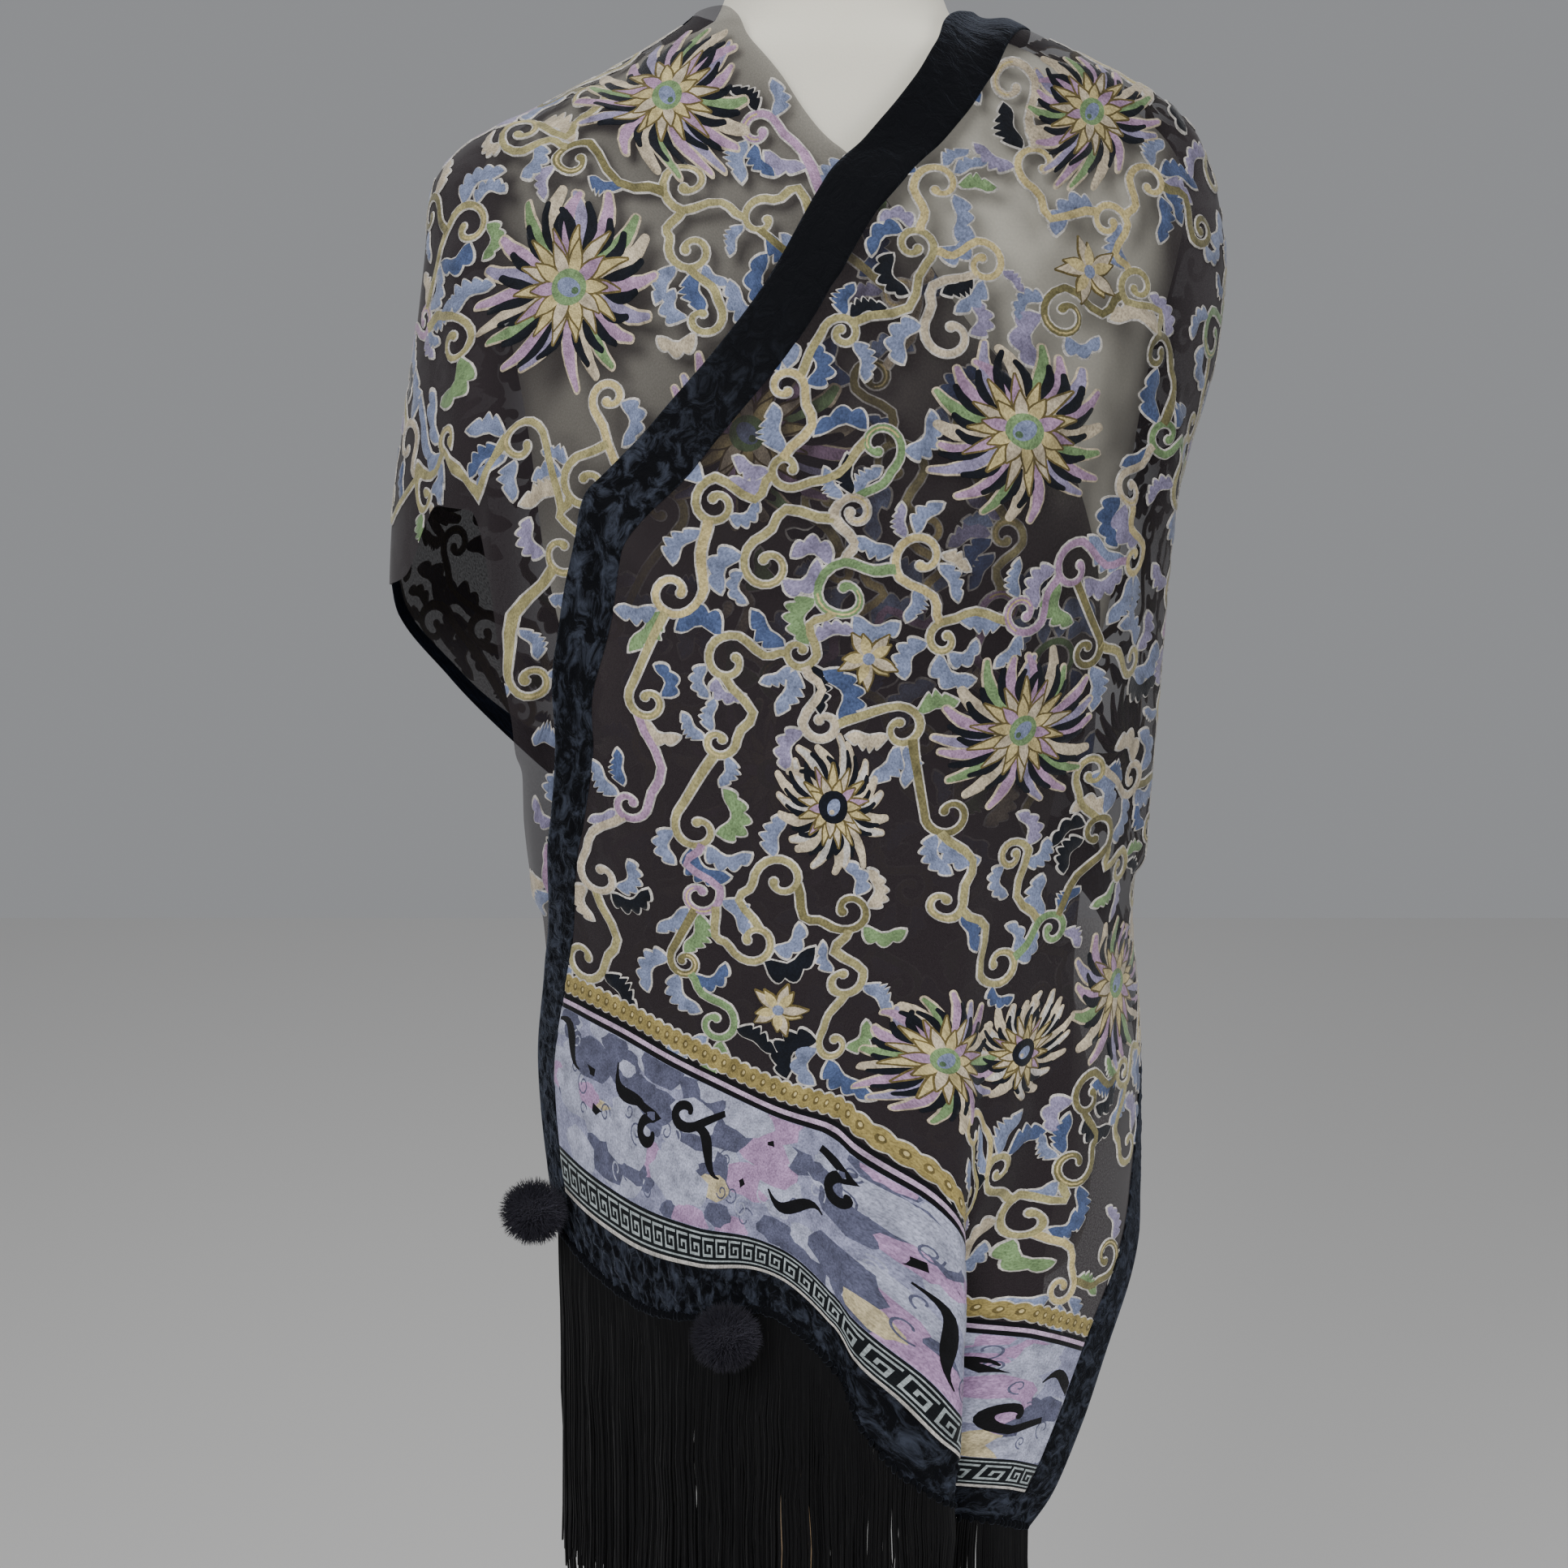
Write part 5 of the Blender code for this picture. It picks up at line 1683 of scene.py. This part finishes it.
class Finishes:
    """All finishes of the object, made once."""

    def __init__(self) -> None:
        """Makes the materials."""
        self.pile = PileVelvet(
            "burnout_velvet_pile", "c3b98a", 0.85, sheen=0.35, sheen_roughness=0.4,
            specular=0.15).make()
        self.ground = SheerChiffon(
            "sheer_chiffon_ground", "2a2427", 0.8, sheen=0.15, specular=0.1).make()
        # The light colours of both velvets are painted highlights
        self.smooth = CrushedVelvet(
            "smooth_black_velvet", "05060a", 0.95, sheen=0.25, sheen_roughness=0.35,
            sheen_tint="5a6688", specular=0.05, light="12151f", amount=0.7).make()
        self.crushed = CrushedVelvet(
            "crushed_black_velvet", "07080c", 0.85, sheen=0.5, sheen_roughness=0.35,
            sheen_tint="828a9c", specular=0.1, light="383d49").make()
        self.fringe = Finish(
            "rayon_fringe", "040406", 0.6, sheen=0.05, specular=0.15).make()
        self.fur = Finish(
            "charcoal_fur", "201f26", 0.7, sheen=0.4, sheen_tint="8d8a9c", specular=0.2).make()
        self.jersey = Jersey(
            "cream_cotton_jersey", "e3dfd0", 0.9, sheen=0.15, specular=0.2).make()
        self.maple = Maple("varnished_maple", "cdb088", 0.35, coat=0.3).make()
        self.steel = Finish("black_painted_steel", "17181a", 0.4, coat=0.2).make()


@dataclass
class GeometryTree:
    """A Geometry Nodes tree with named inputs, run on a piece and turned into its mesh."""

    name: str
    tree: bpy.types.NodeTree = field(init=False)
    ids: Dict[str, str] = field(init=False, default_factory=dict)

    def __post_init__(self) -> None:
        """Makes the empty tree."""
        self.tree = bpy.data.node_groups.new(self.name, "GeometryNodeTree")
        for end in ("INPUT", "OUTPUT"):
            self.tree.interface.new_socket(
                "Geometry", in_out=end, socket_type="NodeSocketGeometry")

    def input(self, name: str, kind: str = "NodeSocketFloat") -> None:
        """Adds a named input."""
        socket = self.tree.interface.new_socket(name, in_out="INPUT", socket_type=kind)
        self.ids[name] = socket.identifier

    def spread(self, inputs: Dict) -> bpy.types.NodeSocket:
        """Sets an instance at every root, as real geometry."""
        placed = add_node(self.tree, "GeometryNodeInstanceOnPoints", inputs)
        real = add_node(self.tree, "GeometryNodeRealizeInstances", {
            "Geometry": placed.outputs[0]})
        return real.outputs[0]

    def close(
        self, geometry: bpy.types.NodeSocket, finish: bpy.types.Material
    ) -> "GeometryTree":
        """Gives the geometry its material and ends the tree with it."""
        dressed = add_node(self.tree, "GeometryNodeSetMaterial", {
            "Geometry": geometry, "Material": finish})
        add_node(self.tree, "NodeGroupOutput", {"Geometry": dressed.outputs[0]})
        return self

    def run(self, item: bpy.types.Object, values: Dict[str, object]) -> bpy.types.Object:
        """Runs the tree on a piece and keeps the result as its plain mesh.

        Args:
            item: The piece.
            values: A value for each named input.

        Returns:
            The piece.
        """
        modifier = item.modifiers.new(self.name, "NODES")
        modifier.node_group = self.tree
        for name, value in values.items():
            modifier[self.ids[name]] = value
        graph = bpy.context.evaluated_depsgraph_get()
        mesh = bpy.data.meshes.new_from_object(item.evaluated_get(graph), depsgraph=graph)
        item.modifiers.remove(modifier)
        old = item.data
        item.data = mesh
        mesh.name = item.name
        bpy.data.meshes.remove(old)
        mesh.shade_smooth()
        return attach(item, "root")


def roots_object(
    name: str, points: np.ndarray, falls: np.ndarray, outs: np.ndarray
) -> bpy.types.Object:
    """Makes an object of loose root points with their lengths and outward directions."""
    mesh = bpy.data.meshes.new(name)
    mesh.from_pydata(points.tolist(), [], [])
    fall = mesh.attributes.new("fall", "FLOAT", "POINT")
    fall.data.foreach_set("value", falls.astype(np.float32))
    out = mesh.attributes.new("out", "FLOAT_VECTOR", "POINT")
    out.data.foreach_set("vector", outs.astype(np.float32).ravel())
    return new_object(name, mesh)


def strand_tree(finish: bpy.types.Material) -> GeometryTree:
    """Makes the tree that hangs a wavy strand from every root.

    Args:
        finish: The strands' material.

    Returns:
        The tree, with the inputs Radius, Wave and Wave Length.
    """
    made = GeometryTree("hanging_strands")
    for name in ("Radius", "Wave", "Wave Length"):
        made.input(name)
    tree = made.tree
    source = add_node(tree, "NodeGroupInput")
    strand = add_node(tree, "GeometryNodeMeshCylinder", {
        "Vertices": 4, "Side Segments": 8, "Radius": source.outputs["Radius"], "Depth": 1.0},
        fill_type="NONE")
    hung = add_node(tree, "GeometryNodeTransform", {
        "Geometry": strand.outputs["Mesh"], "Translation": (0.0, 0.0, -0.5)})
    fall = add_node(tree, "GeometryNodeInputNamedAttribute", {"Name": "fall"}, data_type="FLOAT")
    size = add_node(tree, "ShaderNodeCombineXYZ", {
        "X": 1.0, "Y": 1.0, "Z": fall.outputs["Attribute"]})
    turn = add_node(tree, "FunctionNodeRandomValue", {
        "Min": (0.0, 0.0, 0.0), "Max": (0.012, 0.012, 6.28), "Seed": 7}, data_type="FLOAT_VECTOR")
    real = made.spread({
        "Points": source.outputs["Geometry"], "Instance": hung.outputs[0],
        "Rotation": turn.outputs["Value"], "Scale": size.outputs[0]})
    spot = add_node(tree, "GeometryNodeInputPosition")
    flat = add_node(tree, "ShaderNodeVectorMath", {
        0: spot.outputs[0], 1: source.outputs["Wave Length"]}, operation="DIVIDE")
    noise = add_node(tree, "ShaderNodeTexNoise", {"Vector": flat.outputs[0], "Scale": 1.0,
                                                 "Detail": 1.0})
    centred = add_node(tree, "ShaderNodeVectorMath", {
        0: noise.outputs["Color"], 1: (0.5, 0.5, 0.5)}, operation="SUBTRACT")
    level = add_node(tree, "ShaderNodeVectorMath", {
        0: centred.outputs[0], 1: (1.0, 1.0, 0.0)}, operation="MULTIPLY")
    swing = add_node(tree, "ShaderNodeVectorMath", {
        0: level.outputs[0], "Scale": source.outputs["Wave"]}, operation="SCALE")
    moved = add_node(tree, "GeometryNodeSetPosition", {
        "Geometry": real, "Offset": swing.outputs[0]})
    return made.close(moved.outputs[0], finish)


def knot_tree(finish: bpy.types.Material) -> GeometryTree:
    """Makes the tree that sets a small uneven knot of hem threads at every root.

    Args:
        finish: The knots' material.

    Returns:
        The tree, with the input Radius.
    """
    made = GeometryTree("hem_knots")
    made.input("Radius")
    tree = made.tree
    source = add_node(tree, "NodeGroupInput")
    ball = add_node(tree, "GeometryNodeMeshIcoSphere", {
        "Radius": source.outputs["Radius"], "Subdivisions": 2})
    size = add_node(tree, "FunctionNodeRandomValue", {
        "Min": (0.6, 0.6, 0.7), "Max": (1.2, 1.1, 1.5), "Seed": 5}, data_type="FLOAT_VECTOR")
    real = made.spread({
        "Points": source.outputs["Geometry"], "Instance": ball.outputs["Mesh"],
        "Scale": size.outputs["Value"]})
    return made.close(real, finish)


def fur_tree(finish: bpy.types.Material) -> GeometryTree:
    """Makes the tree that grows a bent hair from every root.

    Args:
        finish: The fur's material.

    Returns:
        The tree, with the inputs Radius and Sag.
    """
    made = GeometryTree("short_fur")
    for name in ("Radius", "Sag"):
        made.input(name)
    tree = made.tree
    source = add_node(tree, "NodeGroupInput")
    hair = add_node(tree, "GeometryNodeMeshCone", {
        "Vertices": 3, "Side Segments": 2, "Radius Top": 0.00004,
        "Radius Bottom": source.outputs["Radius"], "Depth": 1.0}, fill_type="NONE")
    out = add_node(tree, "GeometryNodeInputNamedAttribute", {"Name": "out"},
                   data_type="FLOAT_VECTOR")
    fall = add_node(tree, "GeometryNodeInputNamedAttribute", {"Name": "fall"}, data_type="FLOAT")
    size = add_node(tree, "ShaderNodeCombineXYZ", {
        "X": 1.0, "Y": 1.0, "Z": fall.outputs["Attribute"]})
    lean = add_node(tree, "FunctionNodeRandomValue", {
        "Min": (-0.5, -0.5, -0.5), "Max": (0.5, 0.5, 0.5), "Seed": 3}, data_type="FLOAT_VECTOR")
    way = add_node(tree, "ShaderNodeVectorMath", {
        0: out.outputs["Attribute"], 1: lean.outputs["Value"]}, operation="ADD")
    turn = add_node(tree, "FunctionNodeAlignRotationToVector", {"Vector": way.outputs[0]}, axis="Z")
    real = made.spread({
        "Points": source.outputs["Geometry"], "Instance": hair.outputs["Mesh"],
        "Rotation": turn.outputs[0], "Scale": size.outputs[0]})
    down = add_node(tree, "ShaderNodeCombineXYZ", {"Z": source.outputs["Sag"]})
    moved = add_node(tree, "GeometryNodeSetPosition", {
        "Geometry": real, "Offset": down.outputs[0]})
    return made.close(moved.outputs[0], finish)


@dataclass
class Shawl:
    """The shawl: three stretches, borders, facings, fringe and pompoms."""

    # The fringe's strands and the knots at their roots, in metres
    STRAND = {"Radius": 0.00062, "Wave": 0.006, "Wave Length": 0.035}
    KNOT = {"Radius": 0.0021}
    KNOT_EVERY = 5
    # The pompoms' hairs, how deep they are rooted, and the cores inside, in metres
    HAIR = {"Radius": 0.00032, "Sag": -0.0006}
    HAIRS = 2600
    HAIR_LENGTHS = (0.0045, 0.0075)
    ROOT_DEPTH = 0.0062
    CORE = (0.0125, 0.0118)

    finishes: Finishes
    over_blossoms: Tuple[Blossom, ...] = OVER_BLOSSOMS
    under_blossoms: Tuple[Blossom, ...] = UNDER_BLOSSOMS
    back_blossoms: Tuple[Blossom, ...] = BACK_BLOSSOMS

    def build(self) -> None:
        """Builds every piece of the shawl."""
        over = ClothPiece(Cloth(OVER_LINES, OVER_CREASES + BACK_CREASES, OVER_RISES, DeepFold()), 1)
        under = ClothPiece(Cloth(UNDER_LINES, UNDER_CREASES), -1)
        back = ClothPiece(Cloth(BACK_LINES, BACK_CREASES), -1)
        self._over(over)
        self._under(under)
        self._back(back)
        self._fringes(over, under)
        self._pompoms()

    def _over(self, piece: ClothPiece) -> None:
        """Builds the stretch that lies on top."""
        cloth, inner = piece.cloth, BORDER_SHARE
        ground = piece.ground("over_ground", (inner, 1 - inner), (0, KEY_LINE),
                              OVER_OPACITY, self.finishes.ground)
        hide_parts("shawl_over_panel")
        pattern = Pattern(cloth, self.over_blossoms, (0.0, STRIPE_LINE - 0.1), 11)
        band = HemBand(cloth, 5)
        domain = (inner * CLOTH_WIDTH, (1 - inner) * CLOTH_WIDTH, 0.5, band.key_low)
        pile = piece.pile("over_pile", pattern.patches + band.patches, domain, OVER_SHADE,
                          self.finishes.pile, 1)
        hem = piece.shell("over_border_neck", (0, inner), (0, KEY_LINE), (16, 400), 0.0010,
                          0.0011, 2, self.finishes.crushed, (5.0, 15.0), BEND_LINES)
        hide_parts("shawl_over_border_inner")
        outer = piece.shell("over_border_side", (1 - inner, 1), (0, KEY_LINE), (14, 330), 0.0006,
                            0.0011, 3, self.finishes.crushed)
        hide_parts("shawl_over_border_outer")
        facing = piece.shell("over_facing", (0, 1), (KEY_LINE, cloth.end), (300, 34), 0.0020,
                             0.0013, 4, self.finishes.crushed)
        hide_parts("shawl_over_end_facing")
        LOG.info("over stretch built")

    def _under(self, piece: ClothPiece) -> None:
        """Builds the stretch that goes in under the other one."""
        cloth = piece.cloth
        last = cloth.end - 0.45
        ground = piece.ground("under_ground", (0, 1), (0, last), UNDER_OPACITY,
                              self.finishes.ground)
        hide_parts("shawl_under_panel")
        pattern = Pattern(cloth, self.under_blossoms, (0.0, last), 23)
        domain = (1.0, CLOTH_WIDTH - 1.0, 0.5, cloth.millimetres(last))
        pile = piece.pile("under_pile", pattern.patches, domain, UNDER_SHADE,
                          self.finishes.pile, 2)
        facing = piece.shell("under_facing", (0, 1), (last, cloth.end), (150, 10), 0.0008,
                             0.0012, 6, self.finishes.crushed)
        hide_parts("shawl_under_end_facing")
        LOG.info("under stretch built")

    def _back(self, piece: ClothPiece) -> None:
        """Builds the stretch round the shoulders and the back."""
        cloth, inner = piece.cloth, BORDER_SHARE
        ground = piece.ground("back_ground", (inner, 1 - inner), (0, cloth.end), BACK_OPACITY,
                              self.finishes.ground)
        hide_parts("shawl_back_panel")
        pattern = Pattern(cloth, self.back_blossoms, (0.0, cloth.end), 37)
        domain = (inner * CLOTH_WIDTH, (1 - inner) * CLOTH_WIDTH, 0.5, cloth.lengths[-1] - 0.5)
        pile = piece.pile("back_pile", pattern.patches, domain, BACK_SHADE,
                          self.finishes.pile, 3)
        neck = piece.shell("back_border_neck", (0, inner), (0, cloth.end), (14, 170), 0.0003,
                           0.0011, 7, self.finishes.smooth)
        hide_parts("shawl_back_border_neck")
        low = piece.shell("back_border_lower", (1 - inner, 1), (0, cloth.end), (14, 170), 0.0004,
                          0.0011, 8, self.finishes.smooth)
        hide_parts("shawl_back_border_lower")
        LOG.info("back stretch built")

    def _fringes(self, over: ClothPiece, under: ClothPiece) -> None:
        """Builds both fringes from their roots along the hems."""
        tree = strand_tree(self.finishes.fringe)
        jobs = (
            ("over_fringe", over, OVER_TUFTS, 1250, "fringe_over", 17),
            ("under_fringe", under, UNDER_TUFTS, 600, "fringe_under", 19),
        )
        for name, piece, tufts, count, node, seed in jobs:
            chance = np.random.default_rng(seed)
            u = (np.arange(count) + chance.uniform(-0.3, 0.3, count)) / count
            u = np.clip(u, 0.003, 0.997)
            layer = np.where(np.arange(count) % 2, -0.0007, 0.0006)
            roots = piece.lifted(u, np.full(count, piece.cloth.end), layer)
            rows = np.array(tufts)
            falls = np.interp(u, rows[:, 0], rows[:, 1]) * chance.uniform(0.9, 1.035, count)
            item = roots_object(name, roots, falls, np.zeros((count, 3)))
            tree.run(item, self.STRAND)
            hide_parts(node)
            some = slice(None, None, self.KNOT_EVERY)
            outs = np.zeros_like(roots[some])
            knots = roots_object(name + "_knots", roots[some], falls[some], outs)
            knot_tree(self.finishes.crushed).run(knots, self.KNOT)
            LOG.info("%s built", name)

    def _pompoms(self) -> None:
        """Builds the two fur pompoms where their solids lie."""
        tree = fur_tree(self.finishes.fur)
        for name, node in (("corner_pompom", "pompom_corner"), ("hem_pompom", "pompom_hem")):
            low, high = (np.array(side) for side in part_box(node))
            middle, reach = (low + high) / 2, (high - low) / 2
            count = self.HAIRS
            i = np.arange(count) + 0.5
            up, turn = 1 - 2 * i / count, np.pi * (1 + 5 ** 0.5) * i
            flat = np.sqrt(1 - up * up)
            outs = np.stack([flat * np.cos(turn), flat * np.sin(turn), up], axis=1)
            chance = np.random.default_rng(count)
            roots = middle + outs * (reach - self.ROOT_DEPTH)
            falls = chance.uniform(*self.HAIR_LENGTHS, count)
            item = roots_object(name, roots, falls, outs)
            tree.run(item, self.HAIR)
            profile = [
                (math.sin(a) * self.CORE[0], math.cos(a) * self.CORE[1])
                for a in np.linspace(0.0, math.pi, 15)
            ]
            core = turned_mesh(name + "_core", 28, profile, tuple(middle), self.finishes.fur)
            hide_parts(node)
            LOG.info("%s built with %s", name, core.name)


def capped_rings(sides: int, rings: int) -> List[List[int]]:
    """Gives the faces of stacked rings between a top point and a bottom point.

    Args:
        sides: How many points a ring has.
        rings: How many rings there are.

    Returns:
        The faces. Point 0 is the top, then come the rings from the top down, then the bottom.
    """
    faces = []
    last = 1 + (rings - 1) * sides
    for i in range(sides):
        k = (i + 1) % sides
        faces.append([0, 1 + i, 1 + k])
        for r in range(rings - 1):
            a, b = 1 + r * sides, 1 + (r + 1) * sides
            faces.append([a + i, b + i, b + k, a + k])
        faces.append([last + i, last + sides, last + k])
    return faces


def turned_mesh(
    name: str, sides: int, profile: Sequence[Tuple[float, float]],
    foot: Tuple[float, float, float], finish: bpy.types.Material,
) -> bpy.types.Object:
    """Makes a turned piece.

    Args:
        name: Its name.
        sides: How many sides it has.
        profile: Radius and height from the top down, radius 0 at both ends.
        foot: Where its axis stands.
        finish: Its material.

    Returns:
        The piece.
    """
    turn = np.arange(sides) * 2 * math.pi / sides
    points = [[0.0, 0.0, profile[0][1]]]
    for radius, z in profile[1:-1]:
        points += [[radius * math.cos(t), radius * math.sin(t), z] for t in turn]
    points.append([0.0, 0.0, profile[-1][1]])
    faces = capped_rings(sides, len(profile) - 2)
    return mesh_object(name, np.array(points) + np.array(foot), faces, finish)


@dataclass
class DressForm:
    """The padded torso with its neck cap, collar, pole and round base."""

    finishes: Finishes
    sides: int = 144
    levels: int = 150
    inset: float = 0.0008
    top: float = 1.530
    bottom: float = 0.800

    def build(self) -> None:
        """Builds the form and dresses its stand."""
        hull = Hull(FORM_SECTIONS)
        heights = np.linspace(self.top, self.bottom, self.levels)
        angles = np.arange(self.sides) * 360 / self.sides
        rings = []
        for z in heights:
            ring = hull.point(angles, np.full(self.sides, z))
            centre = np.array([FORM_X, 0.0, 0.0])
            way = (ring - centre) * [1, 1, 0]
            size = np.linalg.norm(way, axis=1, keepdims=True)
            rings.append(ring - way / size * self.inset)
        points = [[FORM_X, 0.0, self.top]] + [p for ring in rings for p in ring]
        points.append([FORM_X, 0.0, self.bottom])
        faces = capped_rings(self.sides, len(rings))
        torso = mesh_object("torso", np.array(points), faces, self.finishes.jersey)
        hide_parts("form_torso")
        LOG.info("torso built")
        for node, finish in (
            ("form_neck_cap", self.finishes.maple), ("stand_pole", self.finishes.maple),
            ("stand_collar", self.finishes.steel), ("stand_base", self.finishes.steel),
        ):
            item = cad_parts[node]
            item.data.materials.clear()
            item.data.materials.append(finish)
            LOG.info("%s dressed", node)


@dataclass
class Studio:
    """The pale floor, the soft lights and the camera at the photo's angle."""

    # Name, place, size in metres and power in watts
    LIGHTS = (
        ("key", (-0.9, -1.9, 2.3), 1.1, 42.0),
        ("fill", (1.5, -1.5, 1.7), 1.4, 20.0),
        ("top", (0.1, 0.2, 2.8), 1.6, 20.0),
    )

    camera_x: float = FORM_X - 0.025
    camera_y: float = -1.25
    camera_z: float = 1.40
    tilt: float = 75.0
    lens: float = 54.47
    sky: str = "e8eaee"
    sky_strength: float = 0.35

    def build(self) -> None:
        """Builds the stage and sets the camera."""
        mesh = bpy.data.meshes.new("floor")
        mesh.from_pydata([(-3, -3, 0), (3, -3, 0), (3, 3, 0), (-3, 3, 0)], [], [(0, 1, 2, 3)])
        pale = Finish("pale_floor", "d9d8d6", 0.9).make()
        mesh.materials.append(pale)
        floor = new_object("floor", mesh)
        lights = [self._area(*light) for light in self.LIGHTS]
        world = bpy.data.worlds.new("studio")
        bpy.context.scene.world = world
        world.use_nodes = True
        sky = world.node_tree.nodes["Background"]
        sky.inputs[0].default_value = (*linear(self.sky), 1)
        sky.inputs[1].default_value = self.sky_strength
        data = bpy.data.cameras.new("camera")
        data.lens = self.lens
        camera = new_object("camera", data)
        camera.location = (self.camera_x, self.camera_y, self.camera_z)
        camera.rotation_euler = (math.radians(self.tilt), 0, 0)
        bpy.context.scene.camera = camera

    @staticmethod
    def _area(name: str, spot: Tuple[float, float, float], size: float, power: float
              ) -> bpy.types.Object:
        """Adds a soft square light that looks at the chest."""
        data = bpy.data.lights.new(name, "AREA")
        data.size, data.energy = size, power
        item = new_object(name, data)
        item.location = spot
        way = Vector(CHEST) - Vector(spot)
        item.rotation_euler = way.to_track_quat("-Z", "Y").to_euler()
        return item


def main() -> None:
    """Builds the stage, the form and the shawl."""
    logging.basicConfig(level=logging.INFO, format="%(name)s: %(message)s")
    finishes = Finishes()
    Studio().build()
    DressForm(finishes).build()
    Shawl(finishes).build()


if __name__ == "__main__":
    main()
